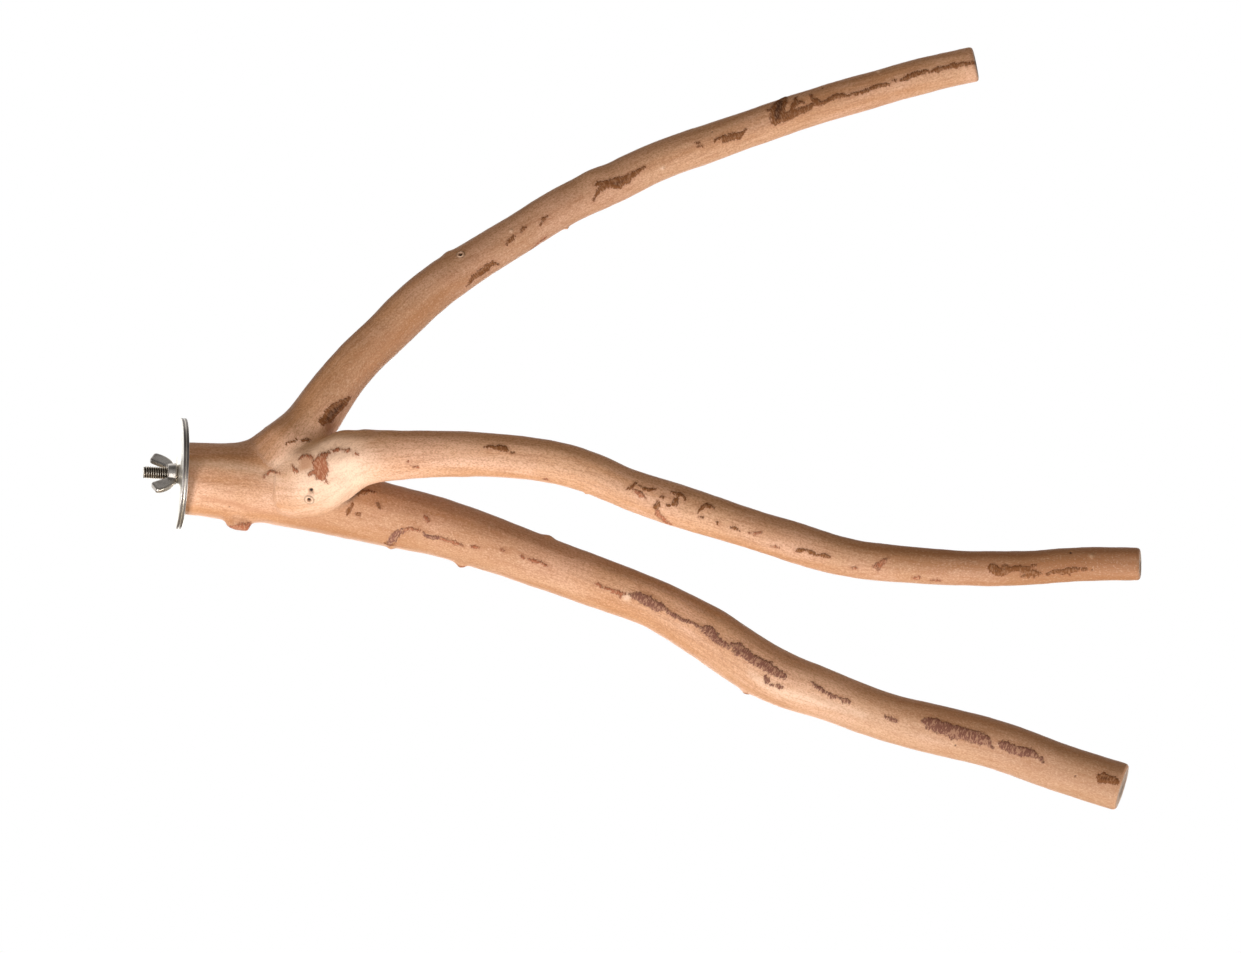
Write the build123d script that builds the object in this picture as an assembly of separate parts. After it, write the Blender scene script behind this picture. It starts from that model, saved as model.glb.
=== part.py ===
from build123d import *
import os
from math import cos, radians, sin
from typing import NamedTuple

# A bird perch: one natural forked branch, clamped to cage wires by a hanger bolt,
# two large washers and a wing nut. Sizes are in millimetres and degrees.
# The origin is on the bolt's axis, in the plane where the two washers meet.
# X runs along the bolt into the wood, Y runs sideways to the back, Z is up.

# Hanger bolt: machine thread outside the wood, wood thread and point inside it
bolt_diameter = 6.0
bolt_free_length = 16.4
bolt_tip_chamfer = 0.7
wood_thread_length = 32.0
wood_thread_point = 8.0
wood_thread_point_diameter = 1.2

# Washers
washer_diameter = 50.0
washer_thickness = 1.3
washer_hole_clearance = 0.3
washer_edge_chamfer = 0.3

# Wing nut: heights are measured from its seat, spans from the bolt's axis
nut_bore_clearance = 0.05
nut_hub_wall = 1.85
nut_hub_height = 4.6
nut_hub_taper = 0.5
nut_hub_chamfer = 0.9
wing_half_span = 13.4
wing_height = 12.2
wing_tip_width = 5.8
wing_tip_angle = 26.0
wing_tip_radius = 1.2
wing_bulge = 2.2
wing_root_height = 0.6
wing_root_depth = 0.9
wing_thickness = 2.5
wing_edge_radius = 0.7
wing_turn = 52.0

# Forked branch: its arms' reach along the bolt, their spread sideways, and the height from tip to tip
branch_length = 414.0
branch_spread = 145.0
branch_height = 323.0
butt_diameter = 32.0
crotch_radius = 10.0
sawn_rim_chamfer = 0.8

# An edge is eased by at most this share of its plate's thickness, and a crotch by this share of the butt
largest_edge_share = 0.4
largest_crotch_share = 0.32

# Sizes that follow from the bolt
washer_hole_radius = bolt_diameter / 2 + washer_hole_clearance
nut_bore_radius = bolt_diameter / 2 + nut_bore_clearance
nut_hub_radius = nut_bore_radius + nut_hub_wall


class Station(NamedTuple):
    """One round section of a limb, in per cent of the branch's length, spread and height and of the butt."""

    along: float
    side: float
    up: float
    girth: float


# The trunk from its sawn butt, running on into the lower arm with a swollen bend near its middle
lower_limb = [
    Station(0, 0, -0.5, 100),
    Station(7, 0, -0.5, 112),
    Station(13.5, 0.5, -1.5, 105),
    Station(20, 0, -3.5, 92),
    Station(27, -1.5, -5, 84),
    Station(33, -3, -7, 79),
    Station(39.5, -5.5, -9.5, 74),
    Station(46, -8.5, -12, 71),
    Station(52, -12, -14.5, 71),
    Station(58, -16, -18.5, 77),
    Station(64, -21, -23, 79),
    Station(70, -27, -25.5, 72),
    Station(76, -34, -28, 69),
    Station(82, -41, -29.5, 70),
    Station(88, -48, -31, 69),
    Station(94, -56, -33.5, 68),
    Station(100, -65, -35.5, 67),
]

# The middle arm, which swells out of the front of the trunk
middle_limb = [
    Station(9.5, -1.5, -1, 88),
    Station(13.5, -7, 0, 94),
    Station(18, -15.5, 3.5, 80),
    Station(23, -24, 4.5, 67),
    Station(28.5, -31.5, 5, 64),
    Station(34, -38, 5, 60),
    Station(40, -44, 4, 58),
    Station(45.5, -48, 1.5, 56),
    Station(51, -52, -0.5, 59),
    Station(57, -55.5, -2.5, 55),
    Station(63, -59, -4.5, 56),
    Station(68.5, -62, -6, 53),
    Station(74.5, -66, -6.5, 51),
    Station(80.5, -71, -6.5, 50),
    Station(86, -77, -6, 48),
    Station(91.5, -84, -5, 48),
    Station(97, -91.5, -4.5, 45),
]

# The upper arm, flared where it leaves the top of the trunk
upper_limb = [
    Station(8.5, -0.5, 0, 94),
    Station(11, -0.5, 4, 96),
    Station(14, 0.5, 9.5, 75),
    Station(17.5, 2.5, 16, 64),
    Station(21.5, 4.5, 21.5, 64),
    Station(26, 6, 27.5, 64),
    Station(30.5, 7.5, 32, 61),
    Station(35.5, 8.5, 36.5, 58),
    Station(40.5, 8.5, 41, 57),
    Station(45.5, 8, 44.5, 58),
    Station(51, 6.5, 48.5, 57),
    Station(56.5, 4.5, 51.5, 55),
    Station(62, 1.5, 54.5, 54),
    Station(67.5, -3, 57.5, 53),
    Station(73, -7.5, 60, 52),
    Station(78.5, -13.5, 62.5, 52),
    Station(84, -20, 64.5, 51),
]


class Twig(NamedTuple):
    """A short stub where a side twig was cut off: its foot on the limb's axis, its lean, and its girth at the cut."""

    foot: Station
    lean: Vector
    reach: float
    cut_girth: float


twigs = [
    # the thick stub under the trunk
    Twig(Station(7, -0.7, -0.6, 53), Vector(-0.22, -0.2, -1), 67, 33),
    # the small pimple under the lower arm
    Twig(Station(30.2, -2.1, -5.9, 28), Vector(0.1, -0.1, -1), 50, 11),
    # the spur under the swollen bend
    Twig(Station(62.1, -19.3, -21.4, 28), Vector(-0.1, -0.1, -1), 50, 9),
]


def place_of(station):
    """A station's centre, measured from the sawn butt on the bolt's axis."""
    along = station.along * branch_length / 100
    side = station.side * branch_spread / 100
    up = station.up * branch_height / 100
    return Vector(along, side, up)


def width_of(share):
    """A width that is stated in per cent of the butt's diameter."""
    return share * butt_diameter / 100


def square_plane(place, run):
    """A plane at a place on a limb, square to its run, with its X axis kept sideways."""
    sideways = Vector(0, 1, 0)
    level = sideways - run * run.dot(sideways)
    return Plane(origin=place, x_dir=level, z_dir=run)


def make_limb(stations, first_run=None):
    """Loft a limb through its round stations, each square to the run of its neighbours."""
    places = [place_of(station) for station in stations]
    sections = []
    for i, station in enumerate(stations):
        before = places[max(i - 1, 0)]
        after = places[min(i + 1, len(places) - 1)]
        run = (after - before).normalized()
        if i == 0 and first_run is not None:
            run = first_run
        sections.append(square_plane(places[i], run) * Circle(width_of(station.girth) / 2))
    return loft(sections)


def make_twig(twig):
    """A tapered stub from a limb's axis out to its cut."""
    run = twig.lean.normalized()
    start = place_of(twig.foot)
    end = start + run * width_of(twig.reach)
    foot = square_plane(start, run) * Circle(width_of(twig.foot.girth) / 2)
    cut = square_plane(end, run) * Circle(width_of(twig.cut_girth) / 2)
    return loft([foot, cut])


def make_branch(bolt):
    """One natural fork: three limbs with rounded crotches, cut twigs, sawn ends and the bolt's pilot hole."""
    trunk = make_limb(lower_limb, first_run=Vector(1, 0, 0))
    middle = make_limb(middle_limb)
    upper = make_limb(upper_limb)
    fork = trunk + upper + middle
    crotches = new_edges(trunk, upper, middle, combined=fork)
    fork = fillet(crotches, min(crotch_radius, largest_crotch_share * butt_diameter))
    rims = fork.faces().filter_by(GeomType.PLANE).edges()
    fork = chamfer(rims, sawn_rim_chamfer)
    for twig in twigs:
        fork += make_twig(twig)
    return Pos(washer_thickness, 0, 0) * fork - bolt


def turned(outline):
    """Revolve an outline, given as distances along the bolt and radii, about the bolt's axis."""
    return revolve(Plane.XZ * make_face(Polyline(*outline, close=True)), Axis.X)


def make_bolt():
    """A hanger bolt with a chamfered machine end and a pointed wood end."""
    radius = bolt_diameter / 2
    tip = -bolt_free_length
    wood_end = washer_thickness + wood_thread_length
    return turned([
        (tip, 0),
        (tip, radius - bolt_tip_chamfer),
        (tip + bolt_tip_chamfer, radius),
        (wood_end - wood_thread_point, radius),
        (wood_end, wood_thread_point_diameter / 2),
        (wood_end, 0),
    ])


def make_washer(face):
    """A large flat washer whose side nearer the nut is at a given distance along the bolt."""
    outer_radius = washer_diameter / 2
    ease = min(washer_edge_chamfer, largest_edge_share * washer_thickness)
    back = face + washer_thickness
    return turned([
        (face, washer_hole_radius),
        (face, outer_radius - ease),
        (face + ease, outer_radius),
        (back - ease, outer_radius),
        (back, outer_radius - ease),
        (back, washer_hole_radius),
    ])


def make_wing(seat):
    """One flat wing, bulging out of the hub's wall and leaning out to a blunt rounded tip."""
    root = nut_hub_radius - nut_hub_taper - wing_root_depth
    outer_tip = wing_height - wing_tip_width * sin(radians(wing_tip_angle))
    inner_tip = wing_half_span - wing_tip_width * cos(radians(wing_tip_angle))
    foot = (seat - wing_root_height, root)
    tip = (seat - outer_tip, wing_half_span)
    inner_corner = (seat - wing_height, inner_tip)
    outer_edge = SagittaArc(foot, tip, -wing_bulge)
    other_edges = Polyline(tip, inner_corner, (seat - nut_hub_height, root), foot)
    outline = make_face(outer_edge + other_edges)
    tip_corners = outline.vertices().group_by(Axis.Y)[1:]
    outline = fillet([corner for group in tip_corners for corner in group], wing_tip_radius)
    wing = extrude(Plane.XZ * outline, wing_thickness / 2, both=True)
    sides = wing.faces().filter_by(Axis.Y).edges()
    return fillet(sides, min(wing_edge_radius, largest_edge_share * wing_thickness))


def make_nut():
    """A wing nut seated on the outer washer, turned so that one wing points up and back."""
    seat = -washer_thickness
    hub = turned([
        (seat, nut_bore_radius),
        (seat, nut_hub_radius - nut_hub_chamfer),
        (seat - nut_hub_chamfer, nut_hub_radius),
        (seat - nut_hub_height, nut_hub_radius - nut_hub_taper),
        (seat - nut_hub_height, nut_bore_radius),
    ])
    wing = make_wing(seat)
    nut = hub + wing + wing.rotate(Axis.X, 180)
    return nut.rotate(Axis.X, -wing_turn)


bolt = make_bolt()
pieces = {
    "forked_branch": make_branch(bolt),
    "hanger_bolt": bolt,
    "inner_washer": make_washer(0),
    "outer_washer": make_washer(-washer_thickness),
    "wing_nut": make_nut(),
}

os.makedirs("parts", exist_ok=True)
for name, piece in pieces.items():
    export_step(piece, f"parts/{name}.step")
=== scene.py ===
"""Looks for a clamp-on bird perch: a peeled forked branch on a hanger bolt with washers and a wing nut.

Everything is in metres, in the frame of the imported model: X runs along the bolt into the wood, Y to the
back and Z up, with the origin where the two washers meet.
"""

import logging
import math
from dataclasses import dataclass, field
from enum import Enum
from typing import NamedTuple, Optional, Union

import bmesh
import bpy
import numpy as np
from mathutils import Matrix, Vector, kdtree, noise

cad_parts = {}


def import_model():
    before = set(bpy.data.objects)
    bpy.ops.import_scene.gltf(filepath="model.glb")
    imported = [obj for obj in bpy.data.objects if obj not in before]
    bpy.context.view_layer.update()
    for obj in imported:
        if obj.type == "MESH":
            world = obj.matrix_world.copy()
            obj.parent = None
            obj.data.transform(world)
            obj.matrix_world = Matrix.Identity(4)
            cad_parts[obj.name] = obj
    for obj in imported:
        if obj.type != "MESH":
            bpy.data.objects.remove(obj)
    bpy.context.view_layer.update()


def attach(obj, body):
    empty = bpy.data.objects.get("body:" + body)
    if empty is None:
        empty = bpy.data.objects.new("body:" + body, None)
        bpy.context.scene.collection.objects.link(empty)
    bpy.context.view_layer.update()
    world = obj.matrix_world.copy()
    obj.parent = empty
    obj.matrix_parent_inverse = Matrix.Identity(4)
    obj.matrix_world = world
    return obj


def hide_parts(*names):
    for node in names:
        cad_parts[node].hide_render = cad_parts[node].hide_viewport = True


LOG = logging.getLogger("bird_perch")
MM = 0.001
WELD = 1e-6
NOISE_SEED = 5
FAR_OUTSIDE = -6.0

Array = np.ndarray
BMesh = bmesh.types.BMesh
BMFace = bmesh.types.BMFace
BMVert = bmesh.types.BMVert
Colour = tuple[float, float, float]
Finish = bpy.types.Material
Mesh = bpy.types.Mesh
Piece = bpy.types.Object
Socket = bpy.types.NodeSocket
Value = Union[Socket, float]


class Body(Enum):
    """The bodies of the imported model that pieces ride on."""

    PERCH = "perch"
    OUTER_WASHER = "outer_washer"
    WING_NUT = "wing_nut"


class Slot(Enum):
    """The record's material slots."""

    WOOD = "peeled_wood"
    WASHER = "washer_steel"
    BOLT = "bolt_steel"
    NUT = "nut_steel"


class Arm(Enum):
    """The three limbs of the fork. The lower one is the trunk and runs on into the lower arm."""

    LOWER = 0
    MIDDLE = 1
    UPPER = 2


class Bark(Enum):
    """The kinds of bark left on the wood, and the soft washes of colour on it, some of which are painted
    shade or painted light.
    """

    DARK = 0.0
    PLUM = 1.0
    RED = 2.0
    # brown washes: painted shade in a crease of the fork and along a fold of the trunk, and a brown stain on
    # the upper arm
    STAIN_AND_SHADE = "brown wash"
    # pale washes: painted light over the crease between the upper arm and the middle lobe, and the wood's own
    # paler patches elsewhere
    PALE_AND_LIGHT = "pale wash"


def linear(colour: Colour) -> tuple[float, float, float, float]:
    """Turn a display colour into the linear colour that a shader socket takes.

    Args:
        colour: Red, green and blue as they look on a screen, from 0 to 1.

    Returns:
        The linear colour with an alpha of 1.
    """
    parts = [c / 12.92 if c <= 0.04045 else ((c + 0.055) / 1.055) ** 2.4 for c in colour]
    return (parts[0], parts[1], parts[2], 1.0)


def smooth_step(value: Array, low: float, high: float) -> Array:
    """Ease from 0 to 1 as a value goes from low to high.

    Args:
        value: The values to ease.
        low: Where the result is 0.
        high: Where the result is 1.

    Returns:
        The eased values.
    """
    t = np.clip((value - low) / (high - low), 0.0, 1.0)
    return t * t * (3.0 - 2.0 * t)


def bell(value: Array, centre: float, breadth: float) -> Array:
    """Rise to 1 round one value and fall to 0 on both sides of it.

    Args:
        value: The values.
        centre: Where the result is 1.
        breadth: How far off it has fallen to about a third.

    Returns:
        The result for each value.
    """
    return np.exp(-(((value - centre) / breadth) ** 2))


class Nodes:
    """A node tree, put together socket by socket."""

    def __init__(self, tree: bpy.types.NodeTree) -> None:
        """Take over a tree.

        Args:
            tree: The tree.
        """
        self.tree = tree

    def node(self, kind: str, **settings: object) -> bpy.types.Node:
        """Add a node and set its properties.

        Args:
            kind: The node's type name.
            **settings: Properties of the node.

        Returns:
            The new node.
        """
        made = self.tree.nodes.new(kind)
        for name, value in settings.items():
            setattr(made, name, value)
        return made

    def feed(self, target: Socket, value: object) -> None:
        """Link a socket to another, or set its value.

        Args:
            target: The input socket.
            value: An output socket, a number, a vector or a colour.
        """
        if isinstance(value, Socket):
            self.tree.links.new(value, target)
        else:
            target.default_value = value

    def stretched(self, vector: Socket, scale: tuple[float, float, float]) -> Socket:
        """Scale a vector along its own axes.

        Args:
            vector: The vector to scale.
            scale: The factor along each axis.

        Returns:
            The scaled vector.
        """
        mapping = self.node("ShaderNodeMapping")
        self.feed(mapping.inputs["Vector"], vector)
        mapping.inputs["Scale"].default_value = scale
        return mapping.outputs["Vector"]

    def split(self, vector: Socket) -> bpy.types.NodeOutputs:
        """Take a vector apart.

        Args:
            vector: The vector.

        Returns:
            Its three parts, by the names X, Y and Z.
        """
        made = self.node("ShaderNodeSeparateXYZ")
        self.feed(made.inputs[0], vector)
        return made.outputs

    def across(self, vector: Socket) -> Socket:
        """Measure how far a vector reaches from its X axis.

        Args:
            vector: The vector.

        Returns:
            The distance.
        """
        made = self.node("ShaderNodeVectorMath", operation="LENGTH")
        self.feed(made.inputs[0], self.stretched(vector, (0, 1, 1)))
        return made.outputs["Value"]

    def noise(self, vector: Socket, scale: float, detail: float = 3.0, rough: float = 0.5) -> Socket:
        """A cloudy noise.

        Args:
            vector: Where to read it.
            scale: How many features a unit of length holds.
            detail: How many finer layers are added.
            rough: How strong the finer layers are.

        Returns:
            The noise, mostly between 0.3 and 0.7.
        """
        made = self.node("ShaderNodeTexNoise")
        self.feed(made.inputs["Vector"], vector)
        made.inputs["Scale"].default_value = scale
        made.inputs["Detail"].default_value = detail
        made.inputs["Roughness"].default_value = rough
        return made.outputs["Fac"]

    def math(self, operation: str, a: Value, b: Value = 0.0) -> Socket:
        """One step of arithmetic.

        Args:
            operation: The Math node's operation.
            a: The first number.
            b: The second number.

        Returns:
            The result.
        """
        made = self.node("ShaderNodeMath", operation=operation)
        self.feed(made.inputs[0], a)
        self.feed(made.inputs[1], b)
        return made.outputs[0]

    def ease(self, value: Value, low: float, high: float, start: float = 0.0, end: float = 1.0) -> Socket:
        """Ease from one number to another as a value crosses a range.

        Args:
            value: The value that drives the change.
            low: Where the change begins.
            high: Where it is complete.
            start: The result up to low.
            end: The result from high.

        Returns:
            The eased number.
        """
        made = self.node("ShaderNodeMapRange", interpolation_type="SMOOTHSTEP")
        self.feed(made.inputs["Value"], value)
        for name, number in (("From Min", low), ("From Max", high), ("To Min", start), ("To Max", end)):
            made.inputs[name].default_value = number
        return made.outputs["Result"]

    def mix(self, factor: Value, a: object, b: object, blend: str = "MIX") -> Socket:
        """Mix two colours.

        Args:
            factor: How much of the second colour shows.
            a: The first colour, a socket or a display colour.
            b: The second colour, likewise.
            blend: How the second colour is laid on the first.

        Returns:
            The mixed colour.
        """
        made = self.node("ShaderNodeMix", data_type="RGBA", blend_type=blend, clamp_factor=True)
        self.feed(made.inputs["Factor"], factor)
        self.feed(made.inputs[6], linear(a) if isinstance(a, tuple) else a)
        self.feed(made.inputs[7], linear(b) if isinstance(b, tuple) else b)
        return made.outputs[2]


class Shader(Nodes):
    """A material's node tree, round a Principled shader."""

    def __init__(self, name: str) -> None:
        """Start a material.

        Args:
            name: The material's name.
        """
        self.material = bpy.data.materials.new(name)
        self.material.use_nodes = True
        super().__init__(self.material.node_tree)
        self.surface = self.tree.nodes["Principled BSDF"]

    def shade(self, **inputs: object) -> None:
        """Feed the Principled shader's inputs.

        Args:
            **inputs: Their values, with underscores for the spaces in their names.
        """
        for name, value in inputs.items():
            self.feed(self.surface.inputs[name.replace("_", " ")], value)

    def attribute(self, name: str, output: str = "Fac") -> Socket:
        """Read one of the mesh's own attributes.

        Args:
            name: The attribute's name.
            output: Which output of the node to use.

        Returns:
            The node's output socket.
        """
        return self.node("ShaderNodeAttribute", attribute_name=name).outputs[output]

    def place(self) -> Socket:
        """Find the point on the surface.

        Returns:
            The point in the object's own coordinates.
        """
        return self.node("ShaderNodeTexCoord").outputs["Object"]

    def bump(self, height: Socket) -> Socket:
        """Turn a height in millimetres into a shading normal.

        Args:
            height: The height above the surface.

        Returns:
            The normal.
        """
        made = self.node("ShaderNodeBump")
        made.inputs["Distance"].default_value = MM
        made.inputs["Strength"].default_value = 1.0
        self.feed(made.inputs["Height"], height)
        return made.outputs["Normal"]


@dataclass(frozen=True)
class PeeledWood:
    """Peeled and sanded wood with bark left in patches. It reads the branch's own attributes."""

    tan: Colour = (0.87, 0.68, 0.54)
    peach: Colour = (0.90, 0.71, 0.59)
    honey: Colour = (0.80, 0.58, 0.41)
    fibre: Colour = (0.68, 0.46, 0.31)
    # cream: pale wood and light specks, also a painted highlight on the fork's lobe and painted light over
    # its crease
    cream: Colour = (0.97, 0.83, 0.72)
    # painted shade: the tint laid on the wood where the lamps' light falls off
    falloff_shade_tint: Colour = (0.80, 0.75, 0.69)
    dark_bark: Colour = (0.52, 0.32, 0.17)
    thick_bark: Colour = (0.33, 0.19, 0.11)
    plum_bark: Colour = (0.52, 0.34, 0.28)
    red_bark: Colour = (0.66, 0.40, 0.28)
    # the brown of the washes, partly painted shade
    stain_and_shade: Colour = (0.76, 0.54, 0.40)
    # dark of the pits, also used as painted shade in the crease under the middle arm
    pit: Colour = (0.12, 0.07, 0.05)

    def material(self) -> Finish:
        """Build the material.

        Returns:
            The finished material.
        """
        sh = Shader("peeled_wood")
        grain = sh.attribute("grain", "Vector")
        speck = sh.noise(sh.stretched(grain, (1000, 1600, 1600)), 1.0, 2.0, 0.6)
        wood = self.bare(sh, grain, speck)
        bark, tone = sh.attribute("bark"), sh.attribute("bark_tone")
        fuzzy = sh.math("MINIMUM", tone, 1.0)

        comb = sh.noise(sh.stretched(grain, (1250, 420, 420)), 1.0, 4.0, 0.7)
        flakes = sh.noise(sh.stretched(grain, (1700, 600, 600)), 1.0, 2.0, 0.6)
        reach = sh.math("ADD", sh.math("MULTIPLY", fuzzy, 0.8), 3.6)
        edge = sh.math("ADD", bark, sh.math("MULTIPLY", sh.math("SUBTRACT", comb, 0.5), reach))
        cover = sh.ease(edge, -0.15, 0.25)
        # brown washes, partly painted shade in a crease and a fold
        wash = sh.math("ADD", sh.attribute("stain_and_shade"), sh.math("MULTIPLY", sh.math("SUBTRACT", comb, 0.5), 3.0))
        thick = sh.mix(sh.ease(edge, 1.0, 3.0), self.dark_bark, self.thick_bark)
        deep = sh.mix(fuzzy, thick, self.plum_bark)
        deep = sh.mix(sh.math("SUBTRACT", tone, 1.0), deep, self.red_bark)
        share = sh.math("ADD", sh.math("MULTIPLY", fuzzy, 0.2), 0.25)
        worn = sh.math("MULTIPLY", sh.ease(flakes, 0.48, 0.6), share)
        skin = sh.mix(worn, deep, self.tan)
        stained = sh.mix(sh.ease(edge, -1.6, 0.4, 0.0, 0.3), wood, self.red_bark)
        stained = sh.mix(sh.ease(wash, -1.4, 1.6, 0.0, 0.75), stained, self.stain_and_shade)
        colour = sh.mix(cover, stained, skin)
        # dark pits, and painted shade along the crease under the middle arm
        colour = sh.mix(sh.attribute("pit"), colour, self.pit)

        crust = sh.math("MULTIPLY", cover, sh.math("ADD", 0.15, sh.math("MULTIPLY", flakes, 0.3)))
        height = sh.math("ADD", sh.math("MULTIPLY", speck, 0.16), crust)
        rough = sh.math("ADD", sh.math("MULTIPLY", cover, 0.25), 0.55)
        sh.shade(Base_Color=colour, Roughness=rough, Normal=sh.bump(height))
        sh.surface.inputs["Specular IOR Level"].default_value = 0.3
        return sh.material

    def bare(self, sh: Shader, grain: Socket, speck: Socket) -> Socket:
        """Colour the bare wood: clouds, streaks along the grain, the pale fork, which is partly a painted
        highlight, painted shade where the lamps' light falls off, and fine pores.

        Args:
            sh: The shader.
            grain: The place along and across the limb.
            speck: A fine noise.

        Returns:
            The colour.
        """
        blotch = sh.noise(sh.place(), 28.0, 4.0)
        streak = sh.noise(sh.stretched(grain, (9, 85, 85)), 1.0, 4.0, 0.6)
        fibre = sh.noise(sh.stretched(grain, (60, 620, 620)), 1.0, 4.0, 0.6)
        wood = sh.mix(sh.ease(blotch, 0.4, 0.62), self.tan, self.peach)
        wood = sh.mix(sh.ease(streak, 0.44, 0.66, 0.0, 0.9), wood, self.honey)
        # pale wood, partly a painted highlight on the fork's lobe and painted light over its crease
        pale = sh.attribute("pale")
        clean = sh.math("SUBTRACT", 1.0, sh.math("MULTIPLY", pale, 0.6))
        wood = sh.mix(pale, wood, self.cream)
        # painted shade where the lamps' light falls off, towards the arms' ends and under the upper arm's top
        wood = sh.mix(sh.attribute("painted_falloff_shade"), wood, self.falloff_shade_tint, "MULTIPLY")
        lines = sh.math("MULTIPLY", sh.ease(fibre, 0.46, 0.72, 0.0, 0.5), clean)
        pores = sh.math("MULTIPLY", sh.ease(speck, 0.44, 0.7, 0.0, 0.6), clean)
        wood = sh.mix(pores, sh.mix(lines, wood, self.fibre), self.fibre)
        return sh.mix(sh.ease(speck, 0.3, 0.46, 0.25, 0.0), wood, self.cream)


@dataclass(frozen=True)
class SawnEnd:
    """End grain of a sawn and lightly sanded branch, with rings round the pith."""

    pale: Colour = (0.95, 0.87, 0.80)
    ring: Colour = (0.87, 0.76, 0.68)
    pith: Colour = (0.42, 0.27, 0.18)
    ring_width: float = 1.5 * MM

    def material(self) -> Finish:
        """Build the material.

        Returns:
            The finished material.
        """
        sh = Shader("sawn_end")
        place = sh.place()
        radius = sh.across(sh.attribute("grain", "Vector"))
        wander = sh.math("MULTIPLY", sh.noise(place, 90.0, 2.0), 1.2)
        turns = sh.math("ADD", sh.math("DIVIDE", radius, self.ring_width), wander)
        wave = sh.math("PINGPONG", turns, 0.5)
        pores = sh.noise(place, 2600.0, 2.0)
        saw = sh.noise(sh.stretched(place, (300, 300, 2400)), 1.0, 2.0)
        colour = sh.mix(sh.ease(wave, 0.2, 0.5, 0.0, 0.8), self.pale, self.ring)
        colour = sh.mix(sh.ease(pores, 0.5, 0.7, 0.0, 0.35), colour, self.ring)
        colour = sh.mix(sh.ease(radius, 0.0005, 0.0014, 0.6, 0.0), colour, self.pith)
        height = sh.math("ADD", sh.math("MULTIPLY", saw, 0.012), sh.math("MULTIPLY", pores, 0.012))
        sh.shade(Base_Color=colour, Roughness=0.7, Normal=sh.bump(height))
        sh.surface.inputs["Specular IOR Level"].default_value = 0.25
        return sh.material


@dataclass(frozen=True)
class ZincPlate:
    """Zinc-plated steel, from bright to dull."""

    name: str
    bright: Colour
    dull: Colour
    gloss: float
    grain_scale: float = 700.0
    dent: float = 0.02

    def material(self) -> Finish:
        """Build the material.

        Returns:
            The finished material.
        """
        sh = Shader(self.name)
        place = sh.place()
        clouds = sh.noise(place, 130.0, 4.0)
        specks = sh.noise(place, self.grain_scale, 3.0)
        colour = sh.mix(sh.ease(clouds, 0.4, 0.65), self.bright, self.dull)
        colour = sh.mix(sh.ease(specks, 0.58, 0.75, 0.0, 0.5), colour, self.dull)
        rough = sh.math("ADD", sh.math("MULTIPLY", clouds, 0.16), self.gloss)
        rough = sh.math("ADD", rough, sh.ease(specks, 0.55, 0.75, 0.0, 0.12))
        sh.shade(Base_Color=colour, Roughness=rough, Normal=sh.bump(sh.math("MULTIPLY", specks, self.dent)))
        sh.surface.inputs["Metallic"].default_value = 1.0
        return sh.material


@dataclass(frozen=True)
class ThreadedZinc:
    """A plated thread whose crests are rubbed bright and whose roots hold dark grime."""

    crest: Colour = (0.90, 0.86, 0.80)
    root: Colour = (0.24, 0.19, 0.15)
    root_radius: float = 2.45 * MM
    crest_radius: float = 2.92 * MM
    end: float = -16.4 * MM

    def material(self) -> Finish:
        """Build the material.

        Returns:
            The finished material.
        """
        sh = Shader("bolt_zinc")
        place = sh.place()
        wear = sh.math("MULTIPLY", sh.noise(place, 900.0), 0.12 * MM)
        radius = sh.math("ADD", sh.across(place), wear)
        end_face = sh.ease(sh.split(place)["X"], self.end + 0.05 * MM, self.end + 0.2 * MM, 0.8, 0.0)
        rubbed = sh.math("MAXIMUM", sh.ease(radius, self.root_radius, self.crest_radius), end_face)
        colour = sh.mix(rubbed, self.root, self.crest)
        rough = sh.math("SUBTRACT", 0.52, sh.math("MULTIPLY", rubbed, 0.26))
        sh.shade(Base_Color=colour, Roughness=rough)
        sh.surface.inputs["Metallic"].default_value = 1.0
        return sh.material


def finished(
    name: str, mesh: Mesh, body: Body, node: str, finishes: list[Finish]
) -> Piece:
    """Put a mesh in the scene as the piece that stands for a CAD node.

    Args:
        name: The piece's name.
        mesh: Its mesh, already in place.
        body: The body that it rides on.
        node: The CAD node that it replaces.
        finishes: Its materials, by face index.

    Returns:
        The new object.
    """
    piece = bpy.data.objects.new(name, mesh)
    bpy.context.scene.collection.objects.link(piece)
    for finish in finishes:
        mesh.materials.append(finish)
    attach(piece, body.value)
    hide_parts(node)
    LOG.info("%s: %d triangles on %s", name, len(mesh.loops) - 2 * len(mesh.polygons), body.value)
    return piece


def mesh_from(bm: BMesh, name: str, sharp_angle: float = math.radians(38)) -> Mesh:
    """Turn a bmesh into a smooth-shaded mesh whose sharp edges stay sharp, and free it.

    Args:
        bm: The bmesh.
        name: The mesh's name.
        sharp_angle: Edges that turn by more than this are shaded sharp.

    Returns:
        The mesh.
    """
    for face in bm.faces:
        face.smooth = True
    for edge in bm.edges:
        edge.smooth = len(edge.link_faces) == 2 and edge.calc_face_angle(0.0) < sharp_angle
    mesh = bpy.data.meshes.new(name)
    bm.to_mesh(mesh)
    bm.free()
    return mesh


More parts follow.
